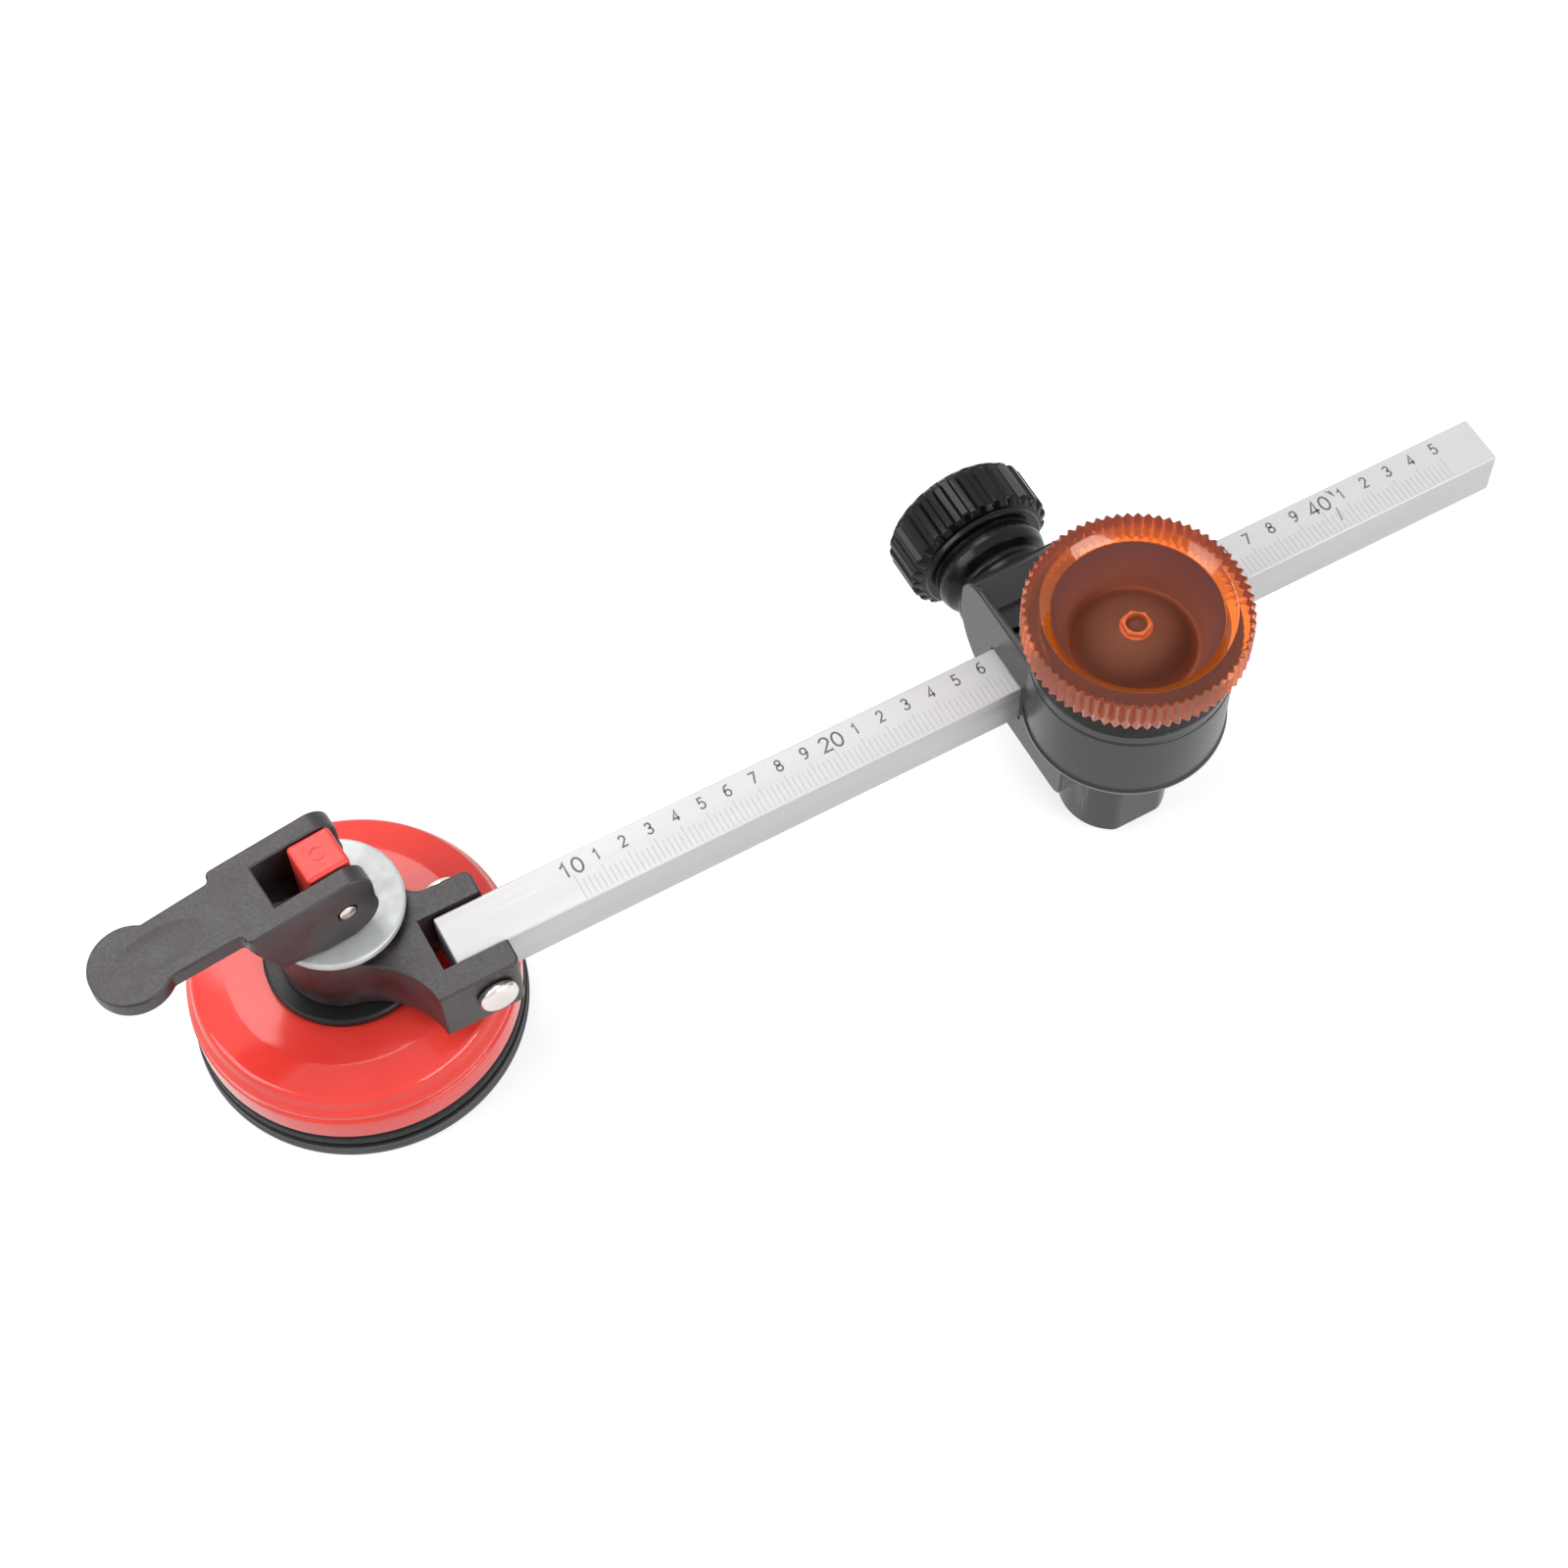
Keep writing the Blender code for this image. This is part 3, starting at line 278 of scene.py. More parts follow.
def tankRadius(tree, spot):
    # distance from the axis of tank and cap
    x = calc(tree, "SUBTRACT", spot["X"], tankAxis[0] * mm)
    y = calc(tree, "SUBTRACT", spot["Y"], tankAxis[1] * mm)
    return calc(tree, "SQRT", calc(tree, "ADD", product(tree, x, x), product(tree, y, y)))


def upTo(tree, source, edge, soft):
    # 1 up to an edge in millimetres, and 0 from a soft border on
    return rangeNode(tree, source, 1, 0, edge * mm, (edge + soft) * mm)


def past(tree, source, edge, soft):
    return rangeNode(tree, source, 0, 1, (edge - soft) * mm, edge * mm)


def seenRays(tree):
    # 1 for what is seen straight, in a shine or through the clear cap
    path = addNode(tree, "ShaderNodeLightPath").outputs
    indirect = calc(tree, "MAXIMUM", path["Is Glossy Ray"], path["Is Transmission Ray"])
    return calc(tree, "MAXIMUM", path["Is Camera Ray"], indirect)


# Materials

tankAxis = (137.5, -28.0)


def nodeMaterial(name):
    made = bpy.data.materials.new(name)
    made.use_nodes = True
    return made, made.node_tree, made.node_tree.nodes["Principled BSDF"]


def edgeBand(tree, edge):
    # 1 on a low band round an upright wall, in front of a given Y, where a highlight is painted
    spot = partSpot(tree)
    outside = past(tree, tankRadius(tree, spot), edge["radius"], 0.05)
    over, under = past(tree, spot["Z"], edge["low"], 0.1), upTo(tree, spot["Z"], edge["high"], 0.1)
    return product(tree, outside, under, over, upTo(tree, spot["Y"], edge["front"], 0.5))


def surface(name, colours, rough, strength, **look):
    made, tree, shader = nodeMaterial(name)
    cloud = rangeNode(tree, noiseNode(tree, look.get("cloud", 60), 4, look.get("cloudStretch", (1, 1, 1))), 0, 1)
    paint = mixNode(tree, cloud, *colours)
    # painted shade: everything above a given height is painted darker
    if look.get("above"):
        height, colour = look["above"]
        paint = mixNode(tree, past(tree, partSpot(tree)["Z"], height, 0.2), paint, colour)
    # painted highlight: a paler band round the tank's lower edge
    if look.get("edge"):
        paint = mixNode(tree, edgeBand(tree, look["edge"]), paint, look["edge"]["colour"])
    fine = noiseNode(tree, look.get("grain", 1500), 3, look.get("grainStretch", (1, 1, 1)))
    rough = rangeNode(tree, fine, *rough)
    if look.get("smudge"):
        rough = calc(tree, "ADD", rough, product(tree, cloud, look["smudge"]))
    bump = bumpNode(tree, fine, strength, look.get("depth", 0.0001))
    if look.get("wave"):
        swell = bumpNode(tree, noiseNode(tree, look["waveScale"], 1), look["wave"], look["waveDepth"])
        tree.links.new(swell.outputs["Normal"], bump.inputs["Normal"])
    if look.get("glow"):
        setInputs(tree, shader, {"Subsurface Weight": look["glow"], "Subsurface Scale": 1.0,
                                 "Subsurface Radius": (0.002, 0.001, 0.0005)})
    setInputs(tree, shader, {"Base Color": paint, "Roughness": rough, "Normal": bump.outputs["Normal"], "IOR": 1.5,
                             "Metallic": look.get("metallic", 0.0), "Specular IOR Level": look.get("specular", 0.5)})
    return made


# each look: name, two colours that cloud into each other, roughness from and to, strength of the grain
looks = {
    "redShell": surface("redShellPlastic", [(0.73, 0.042, 0.031), (0.79, 0.053, 0.04)], (0.09, 0.16), 0.03,
        specular=0.4, wave=0.12, waveScale=45, waveDepth=0.0004, glow=0.12),
    "redStem": surface("redStemPlastic", [(0.66, 0.038, 0.030), (0.73, 0.05, 0.04)], (0.34, 0.46), 0.14, cloud=220,
        glow=0.1),
    "charcoal": surface("charcoalPlastic", [(0.014, 0.010, 0.012), (0.044, 0.036, 0.038)], (0.25, 0.38), 0.26,
        specular=0.44, depth=0.00008, grain=1900, cloud=170, smudge=0.16),
    # the head's look paints a highlight as a paler band round the tank's lower edge
    "charcoalHead": surface("charcoalHeadPlastic", [(0.016, 0.015, 0.016), (0.022, 0.021, 0.022)], (0.26, 0.32), 0.05,
        specular=0.42, depth=0.00005, cloud=110,
        edge={"radius": 17.5, "low": 29.1, "high": 29.75, "front": -21.0, "colour": (0.17, 0.165, 0.17)}),
    "blackGloss": surface("blackKnobPlastic", [(0.003,) * 3, (0.006,) * 3], (0.18, 0.3), 0.08,
        specular=0.22, depth=0.00006, grain=1900, cloud=130),
    "blackRing": surface("blackRingPlastic", [(0.006,) * 3, (0.012,) * 3], (0.3, 0.4), 0.1,
        specular=0.28, cloud=150),
    # the pad's look paints shade: all of the rubber above the lip is painted near black
    "padRubber": surface("satinRubber", [(0.066, 0.068, 0.070), (0.090, 0.092, 0.095)], (0.45, 0.6), 0.2,
        specular=0.2, grain=1300, cloud=80, above=(3.1, (0.006, 0.006, 0.007))),
    "sealRubber": surface("blackSealRubber", [(0.004,) * 3, (0.008,) * 3], (0.42, 0.55), 0.2,
        specular=0.1, grain=1300, cloud=80),
    "aluminium": surface("paleAluminium", [(0.50, 0.49, 0.495), (0.55, 0.54, 0.545)], (0.38, 0.5), 0.1, metallic=0.2,
        depth=0.00005, grain=700, grainStretch=(0.05, 1.6, 1.6), cloud=160, cloudStretch=(0.12, 1, 1)),
    "zinc": surface("zincPlate", [(0.46, 0.48, 0.49), (0.60, 0.62, 0.62)], (0.42, 0.6), 0.05, metallic=0.3,
        depth=0.00003, grain=420, cloud=200),
    "nickel": surface("nickelPlate", [(0.66, 0.62, 0.59), (0.75, 0.71, 0.68)], (0.12, 0.24), 0.12, metallic=1.0,
        grain=500, cloud=300),
    "steel": surface("groundSteel", [(0.50, 0.50, 0.51), (0.62, 0.62, 0.63)], (0.22, 0.38), 0.1, metallic=1.0,
        depth=0.00005, grain=1600, cloud=300),
    "brass": surface("turnedBrass", [(0.62, 0.42, 0.14), (0.74, 0.54, 0.22)], (0.2, 0.34), 0.06, metallic=1.0,
        grain=1200, cloud=200),
    "felt": surface("oiledFelt", [(0.05, 0.04, 0.03), (0.10, 0.08, 0.06)], (0.85, 1.0), 0.7, depth=0.0003,
        grain=2400, cloud=500),
    "ink": surface("scaleInk", [(0.13, 0.13, 0.135), (0.19, 0.19, 0.2)], (0.8, 0.95), 0.1, specular=0.05, cloud=900),
    "etched": surface("etchedLine", [(0.36, 0.35, 0.355), (0.44, 0.43, 0.435)], (0.5, 0.7), 0.1, metallic=0.2,
        cloud=700),
}


# the well's browns, the floor's corner colour and the boss ring's colour are painted shade and light
capLook = {"wellRadius": 14.75, "wellTop": 58.5, "top": 60.15, "floorRadius": 11.0, "wallFoot": 51.0, "boss": 2.75,
           "dip": 1.95, "tooth": 18.35, "orange": (1.0, 0.20, 0.012), "toothColour": (1.0, 0.25, 0.08),
           "wallTopPaintedShade": (0.15, 0.054, 0.048), "wallLowPaintedShade": (0.23, 0.069, 0.043), "floorPaintedShade": (0.165, 0.055, 0.032),
           "paintedBossLight": (0.60, 0.13, 0.045), "cornerIn": 9.0, "cornerOut": 10.9, "cornerPaintedLight": (0.30, 0.085, 0.045),
           "clear": 0.95, "toothClear": 0.74, "toothRough": 0.1, "wellRough": 0.4, "slope": 16.4,
           "slopeClear": 0.78, "ior": 1.45, "coat": 0.1, "coatRough": 0.07, "specular": 0.05, "ringScale": 1100,
           "ringBump": 0.12, "ringDepth": 0.00006}


def capSurface():
    # a clear orange rim, and a well painted brown and opaque: painted shade for the dark tank seen through it
    c = capLook
    made, tree, shader = nodeMaterial("clearOrangeCap")
    spot = partSpot(tree)
    radius, height = tankRadius(tree, spot), spot["Z"]

    def within(edge, soft=0.15):
        return upTo(tree, radius, edge, soft)

    def below(edge, soft=0.15):
        return upTo(tree, height, edge, soft)

    well = product(tree, within(c["wellRadius"]), below(c["wellTop"]))
    tooth = product(tree, inverse(tree, within(c["tooth"], 0.3)), below(c["top"] - 0.15))
    onBoss = product(tree, within(c["boss"]), inverse(tree, within(c["dip"] - 0.15)))
    # painted shade and light: the well's wall and floor are painted browns that stand in for the dark tank behind the
    # clear plastic
    depth = rangeNode(tree, height, 0, 1, c["wellTop"] * mm, c["wallFoot"] * mm)
    inside = mixNode(tree, depth, c["wallTopPaintedShade"], c["wallLowPaintedShade"])
    inside = mixNode(tree, within(c["floorRadius"], 0.3), inside, c["floorPaintedShade"])
    # painted light: the round corner of the floor is painted lighter, against the shade that gathers there
    corner = product(tree, within(c["cornerOut"], 1.0), inverse(tree, within(c["cornerIn"], 1.6)))
    inside = mixNode(tree, corner, inside, c["cornerPaintedLight"])
    rim = mixNode(tree, tooth, c["orange"], c["toothColour"])
    # painted light: the boss's ring is painted a bright orange
    paint = mixNode(tree, onBoss, mixNode(tree, well, rim, inside), c["paintedBossLight"])
    slope = product(tree, within(c["slope"]), inverse(tree, below(c["wellTop"] - 0.1, 0.2)))
    clear = rangeNode(tree, tooth, c["clear"], c["toothClear"], 0, 1)
    clear = calc(tree, "SUBTRACT", clear, product(tree, slope, c["clear"] - c["slopeClear"]))
    solid = inverse(tree, well)
    # fine rings that the turning of the mould left
    rings = addNode(tree, "ShaderNodeCombineXYZ", {"X": radius, "Z": height})
    noise = addNode(tree, "ShaderNodeTexNoise", {"Vector": rings.outputs[0], "Scale": c["ringScale"], "Detail": 2})
    bump = bumpNode(tree, noise.outputs["Fac"], c["ringBump"], c["ringDepth"])
    shine = rangeNode(tree, noiseNode(tree, 300, 3), 0.06, 0.12)
    dull = calc(tree, "ADD", product(tree, well, c["wellRough"]), product(tree, tooth, c["toothRough"]))
    setInputs(tree, shader, {
        "Base Color": paint, "Transmission Weight": product(tree, clear, solid),
        "Coat Weight": rangeNode(tree, solid, 0.0, c["coat"], 0, 1), "Coat Roughness": c["coatRough"],
        "Specular IOR Level": c["specular"], "IOR": c["ior"], "Normal": bump.outputs["Normal"],
        "Roughness": calc(tree, "ADD", shine, dull)})
    return made


looks["orangeCap"] = capSurface()
print("materials made:", len(looks))


def paintWith(item, look):
    item.data.materials.clear()
    item.data.materials.append(looks[look])


def settle(item, body, look, nodes):
    paintWith(item, look)
    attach(item, body)
    if nodes:
        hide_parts(*nodes)


# Geometry Nodes

def treeWith(name, floats):
    tree = bpy.data.node_groups.new(name, "GeometryNodeTree")

    def socket(label, kind, way="INPUT"):
        tree.interface.new_socket(label, in_out=way, socket_type="NodeSocket" + kind)

    socket("Geometry", "Geometry")
    for label in floats:
        socket(label, "Float")
    socket("Material", "Material")
    socket("Geometry", "Geometry", "OUTPUT")
    return tree, tree.nodes.new("NodeGroupInput").outputs, tree.nodes.new("NodeGroupOutput")


def paintTree(tree, given, end, shape):
    real = addNode(tree, "GeometryNodeRealizeInstances", {0: shape})
    paint = addNode(tree, "GeometryNodeSetMaterial", {"Geometry": real.outputs[0], "Material": given["Material"]})
    tree.links.new(paint.outputs[0], end.inputs[0])
    return tree


def toothTree():
    # pushes the weighted vertices in towards the axis: land, flank, valley, flank for each tooth
    tree, given, end = treeWith("rimTeeth", ["Count", "Depth", "Land"])
    place = addNode(tree, "GeometryNodeInputPosition")
    spot = addNode(tree, "ShaderNodeSeparateXYZ", {0: place.outputs[0]}).outputs
    angle = calc(tree, "ARCTAN2", spot["Y"], spot["X"])
    turns = calc(tree, "DIVIDE", product(tree, angle, given["Count"]), math.tau)
    # whole turns are added, so the share is never negative
    share = calc(tree, "FRACT", calc(tree, "ADD", turns, 1000.0))
    centred = calc(tree, "ABSOLUTE", calc(tree, "SUBTRACT", share, 0.5))
    valley = product(tree, given["Land"], 0.5)
    wave = rangeNode(tree, centred, 1.0, 0.0, valley, calc(tree, "SUBTRACT", 0.5, valley))
    weight = addNode(tree, "GeometryNodeInputNamedAttribute", {"Name": "toothWeight"}, data_type="FLOAT")
    depth = product(tree, wave, weight.outputs[0], given["Depth"], -1.0)
    flat = addNode(tree, "ShaderNodeCombineXYZ", {"X": spot["X"], "Y": spot["Y"]})
    unit = addNode(tree, "ShaderNodeVectorMath", {0: flat.outputs[0]}, operation="NORMALIZE")
    push = addNode(tree, "ShaderNodeVectorMath", {0: unit.outputs[0], "Scale": depth}, operation="SCALE")
    move = addNode(tree, "GeometryNodeSetPosition", {"Geometry": given["Geometry"], "Offset": push.outputs[0]})
    return paintTree(tree, given, end, move.outputs[0])


def tickTree():
    # a row of thin bars whose length follows their index: tens, units, then the fine ones
    tree, given, end = treeWith("scaleTicks", ["Count", "Pitch", "Thickness", "Fine", "Unit", "Ten", "Height"])
    step = addNode(tree, "ShaderNodeCombineXYZ", {"X": given["Pitch"]})
    line = addNode(tree, "GeometryNodeMeshLine", {"Count": given["Count"], "Offset": step.outputs[0]})
    index = addNode(tree, "GeometryNodeInputIndex").outputs[0]
    length = given["Fine"]
    for every, long, short in ((5.0, "Unit", "Fine"), (50.0, "Ten", "Unit")):
        marked = calc(tree, "LESS_THAN", calc(tree, "MODULO", index, every), 0.5)
        more = product(tree, marked, calc(tree, "SUBTRACT", given[long], given[short]))
        length = calc(tree, "ADD", length, more)
    size = addNode(tree, "ShaderNodeCombineXYZ", {"X": given["Thickness"], "Y": length, "Z": given["Height"]})
    cube = addNode(tree, "GeometryNodeMeshCube", {"Size": (1, 1, 1)})
    lifted = addNode(tree, "GeometryNodeTransform", {"Geometry": cube.outputs["Mesh"], "Translation": (0, 0.5, 0)})
    spread = addNode(tree, "GeometryNodeInstanceOnPoints", {
        "Points": line.outputs["Mesh"], "Instance": lifted.outputs[0], "Scale": size.outputs[0]})
    return paintTree(tree, given, end, spread.outputs[0])


def runTree(item, tree, values):
    change = item.modifiers.new(tree.name, "NODES")
    change.node_group = tree
    for socket in tree.interface.items_tree:
        if socket.item_type == "SOCKET" and socket.in_out == "INPUT" and socket.name in values:
            change[socket.identifier] = values[socket.name]
    return bakeModifiers(item)


teeth = toothTree()
ticks = tickTree()
print("node trees made")


def toothedBody(name, loop, rim, count, perTooth, depth, land, look):
    # the teeth fade out from the rim's edge inwards, and stay off what lies under it
    inner, low, fade, span = rim
    weights = []
    for radius, height in loop:
        onRim = radius > inner and height > low
        weights.append(min(1.0, (radius - fade) / span) if onRim else 0.0)
    body = lathe(name, loop, count * perTooth, weights=weights)
    return runTree(body, teeth, {"Count": float(count), "Depth": depth * mm, "Land": land, "Material": looks[look]})


# Camera, as the photograph was taken

view = {"place": (-0.04131, -0.24683, 0.48581), "right": (0.8760, -0.4819, -0.0177),
        "back": (-0.2270, -0.4445, 0.8665), "lens": 70.305, "sensor": 36, "clip": 0.01}
cameraData = bpy.data.cameras.new("photoCamera")
cameraData.sensor_width = view["sensor"]
cameraData.lens = view["lens"]
cameraData.clip_start = view["clip"]
camera = newObject("photoCamera", cameraData)
right = Vector(view["right"]).normalized()
back = Vector(view["back"])
back = (back - right * right.dot(back)).normalized()
up = back.cross(right)
axes = Matrix((right, up, back)).transposed().to_4x4()
camera.matrix_world = Matrix.Translation(view["place"]) @ axes
bpy.context.scene.camera = camera


# Light and floor

studio = {"world": 0.48, "floorGlow": 0.68, "farGlow": 0.8, "floorShade": 0.42, "floorSize": 6,
          "floorDrop": 0.1, "near": 0.4, "far": 1.5, "target": (0.09, -0.01, 0.02),
          # place, width, height and watts
          "lamps": {"softKey": ((-0.75, 0.15, 0.75), 0.55, 0.75, 6.5), "softTop": ((-0.02, 0.60, 1.05), 0.6, 0.7, 6.0),
                    "softFront": ((0.45, -0.85, 0.55), 0.7, 0.42, 7.2)}}


def lamp(name, place, width, height, watts):
    data = bpy.data.lights.new(name, "AREA")
    data.shape = "RECTANGLE"
    data.size = width
    data.size_y = height
    data.energy = watts
    item = newObject(name, data)
    item.location = place
    aim = Vector(studio["target"]) - Vector(place)
    item.rotation_euler = aim.to_track_quat("-Z", "Y").to_euler()


def paleRoom():
    world = bpy.data.worlds.new("paleRoom")
    bpy.context.scene.world = world
    world.use_nodes = True
    tree = world.node_tree
    extra = product(tree, seenRays(tree), 1 - studio["world"])
    setInputs(tree, tree.nodes["Background"], {
        "Color": (1, 1, 1, 1), "Strength": calc(tree, "ADD", studio["world"], extra)})


def paleFloor():
    bm = bmesh.new()
    size, low = studio["floorSize"], -studio["floorDrop"] * mm
    corners = [(-size, -size), (size, -size), (size, size), (-size, size)]
    bm.faces.new([bm.verts.new((x, y, low)) for x, y in corners])
    item = meshObject("floor", bm)
    made, tree = nodeMaterial("whiteSweep")[:2]
    tree.nodes.clear()
    reach = addNode(tree, "ShaderNodeVectorMath", {0: partCoords(tree)}, operation="LENGTH")
    glow = rangeNode(tree, reach.outputs["Value"], studio["floorGlow"], studio["farGlow"], studio["near"],
                     studio["far"])
    light = addNode(tree, "ShaderNodeEmission", {"Strength": product(tree, seenRays(tree), glow)})
    shade = addNode(tree, "ShaderNodeBsdfDiffuse", {"Color": (studio["floorShade"],) * 3 + (1,)})
    both = addNode(tree, "ShaderNodeAddShader", {0: shade.outputs[0], 1: light.outputs[0]})
    addNode(tree, "ShaderNodeOutputMaterial", {"Surface": both.outputs[0]})
    item.data.materials.append(made)


for name, setting in studio["lamps"].items():
    lamp(name, *setting)
paleRoom()
paleFloor()
print("camera, lamps and floor set")


# Suction cup

pad = {"radius": 29.4, "lip": 3.3, "groove": 1.1, "height": 6.6, "inset": 0.4, "contact": 24.8,
       "hollow": 2.4, "pocket": 10.3, "pocketFloor": 5.0}


def buildPad():
    p = pad
    waist, side = p["radius"] - p["groove"], p["radius"] - p["inset"]
    loop = [(0, p["hollow"])]
    for step in range(1, 13):
        share = step / 12
        loop.append((p["contact"] * share, p["hollow"] * (1 - share ** 2)))
    loop += roundLoop([
        (p["contact"] + 0.1, 0), (p["radius"], 0, 0.9), (p["radius"], p["lip"] * 0.45, 0.4),
        (p["radius"] - 0.25, p["lip"] * 0.52, 0.2), (p["radius"] - 0.15, p["lip"], 0.5),
        (waist, p["lip"] + 0.05, 0.15), (waist, p["lip"] + 0.75, 0.2), (side, p["lip"] + 0.8, 0.3),
        (side, p["height"], 0.5), (p["pocket"], p["height"], 0.3), (p["pocket"], p["pocketFloor"], 0.2),
        (0, p["pocketFloor"])])
    settle(lathe("padRubber", loop, 192), "cup", "padRubber", ["suction_pad"])


shell = {"radius": 28.9, "bottom": 6.9, "bandTop": 12.3, "groove": 28.3, "grooveTop": 13.2, "ridge": 28.65,
         "ridgeTop": 14.5, "hollow": 27.75, "hollowTop": 15.6, "shoulder": 27.2, "shoulderTop": 18.2, "top": 19.1,
         "ring": 14.4, "neck": 7.2, "neckTop": 36.0, "bore": 5.9, "wall": 2.2, "pocket": 11.2, "pocketTop": 9.3}


def buildShell():
    s = shell
    wall = s["wall"]
    outline = [
        (s["radius"], s["bottom"], 0.35), (s["radius"], s["bandTop"], 0.7), (s["groove"], s["bandTop"] + 0.35, 0.2),
        (s["groove"], s["grooveTop"] - 0.1, 0.2), (s["ridge"], s["grooveTop"] + 0.2, 0.4),
        (s["ridge"], s["ridgeTop"] - 0.2, 0.8), (s["hollow"], s["hollowTop"], 1.0),
        (s["shoulder"], s["shoulderTop"] - 0.5, 1.6), (s["ring"] + 6.5, s["top"] - 0.25, 6.0),
        (s["ring"], s["top"]), (s["neck"], s["top"], 0.2), (s["neck"], s["neckTop"], 0.3),
        (s["bore"], s["neckTop"], 0.2), (s["bore"], s["pocketTop"], 0.1), (s["pocket"], s["pocketTop"], 0.2),
        (s["pocket"], s["top"] - wall * 2, 0.2), (s["ring"], s["top"] - wall, 0.5),
        (s["shoulder"] - wall * 2, s["top"] - wall * 1.6, 1.0),
        (s["radius"] - wall * 1.4, s["hollowTop"] - 1.0, 0.8), (s["radius"] - wall, s["bottom"], 0.2)]
    body = lathe("shellDome", roundLoop(outline, 10), 224, sharpDeg=40)
    settle(body, "cup", "redShell", ["cup_shell"])


ring = {"inner": 7.5, "outer": 14.4, "low": 19.4, "high": 21.4, "corners": (0.2, 0.6, 0.7, 0.2)}
washer = {"inner": 6.2, "outer": 12.1, "low": 36.3, "high": 37.9, "corners": (0.2, 0.35, 0.55, 0.25)}


def flatRing(name, r):
    spots = [(r["inner"], r["low"]), (r["outer"], r["low"]), (r["outer"], r["high"]), (r["inner"], r["high"])]
    return lathe(name, roundLoop([(*spot, corner) for spot, corner in zip(spots, r["corners"])], 6))


buildPad()
buildShell()
settle(flatRing("turningRing", ring), "cup", "blackRing", ["bearing_ring"])
settle(flatRing("zincWasher", washer), "cup", "zinc", ["cam_washer"])
print("cup built")


# Plunger and lever

plunger = {"half": 3.9, "low": 7.8, "top": 54.4, "edge": 0.75, "foot": 10.0, "footLow": 7.4, "footHigh": 9.0,
           "footEdge": 0.3, "markIn": 1.05, "markOut": 1.3, "markDepth": 0.12}
lever = {"turnDeg": 4.5, "pin": 46.2, "rise": 8.0, "width": 15.6, "back": 16.8, "slotBack": 10.2, "slot": 8.4,
         "cam": 8.0, "drop": 2.2, "margin": 0.45, "neck": 11.8, "waist": 11.2, "end": 34.19, "endRadius": 7.2,
         "thickness": 3.6, "endDrop": 1.8, "heel": 13.0, "corner": 1.5, "front": 12.0, "edge": 0.4,
         "pinHole": 1.75, "pinRadius": 1.5, "pinHalf": 8.0, "pinDome": 0.1, "pinEdge": 0.25,
         "dish": {"x": -29.4, "depth": 0.32, "size": (21.0, 9.0, 3.4)}}
leverTurn = Matrix.Rotation(math.radians(lever["turnDeg"]), 4, "Z")
upright = Matrix.Rotation(math.radians(90), 4, "X")
alongY = Matrix.Rotation(math.radians(-90), 4, "X")


def buildPlunger():
    p = plunger
    stem = block("redStem", (-p["half"], -p["half"], p["low"]), (p["half"], p["half"], p["top"]))
    softenEdges(stem, p["edge"], 4)
    # the foot stays 2.3 mm over the pad's pocket, which is the room the lever needs to let it down
    carve(stem, [rod("stemFoot", p["foot"], p["footLow"], p["footHigh"], 96, p["footEdge"])], "UNION")
    hole = shift(rod("stemHole", lever["pinHole"], -6, 6, 48), z=lever["pin"], turn=alongY)
    floor, over = p["top"] - p["markDepth"], p["top"] + 0.5
    mark = [(p["markIn"], floor), (p["markOut"], floor), (p["markOut"], over), (p["markIn"], over)]
    carve(stem, [hole, lathe("gateMark", mark, 48)])
    shift(smoothFlats(stem, 40), turn=leverTurn)
    settle(stem, "plunger", "redStem", ["plunger"])


def leverSide():
    # side outline of body and paddle round the pin, in one piece
    v = lever
    fall = v["endDrop"] / v["end"]
    tip = -v["end"] - v["endRadius"] - 1
    front = v["cam"] - v["drop"] - v["margin"]
    points = [
        (front, v["rise"] + fall * front, 4.0), (tip, v["rise"] + fall * tip),
        (tip, v["rise"] + fall * tip - v["thickness"]),
        (-v["back"], v["rise"] - fall * v["back"] - v["thickness"], 0.8), (-v["heel"], -v["cam"] * 0.72, 2.0),
        (-v["cam"] * 0.62, -v["cam"], 1.2), (0, -v["cam"])]
    for step in range(1, 25):
        share = step / 24
        radius = v["cam"] - (v["drop"] + v["margin"]) * share
        angle = math.radians(-90 + 90 * share)
        points.append((radius * math.cos(angle), radius * math.sin(angle)))
    return roundLoop(points, 8)


def leverPlan():
    # plan of body, neck and round end
    v = lever
    half, neck, waist = v["width"] / 2, v["neck"] / 2, v["waist"] / 2
    openDeg = math.degrees(math.asin(waist / v["endRadius"]))
    disc = arcPoints(-v["end"], 0, v["endRadius"], openDeg, 360 - openDeg, 48)
    start = [(v["front"], -half), (v["front"], half), (-v["back"], half, v["corner"]), (-v["back"] - 0.3, neck, 0.9)]
    end = [(-v["back"] - 0.3, -neck, 0.9), (-v["back"], -half, v["corner"])]
    return roundLoop(start + [(*disc[0], 1.6)] + disc[1:-1] + [(*disc[-1], 1.6)] + end, 6)


def thumbScoop():
    # a flat ball that dips into the paddle, and leans with it
    v, d = lever, lever["dish"]
    bm = bmesh.new()
    bmesh.ops.create_uvsphere(bm, u_segments=64, v_segments=32, radius=1.0)
    place = Matrix.Translation(Vector((d["x"], 0, d["size"][2] - d["depth"])) * mm)
    scale = Matrix.Diagonal((*[size * mm for size in d["size"]], 1))
    bmesh.ops.transform(bm, matrix=place @ scale, verts=bm.verts[:])
    lean = Matrix.Rotation(-math.atan2(v["endDrop"], v["end"]), 4, "Y")
    return shift(meshObject("thumbScoop", bm), z=v["pin"] + v["rise"], turn=lean)


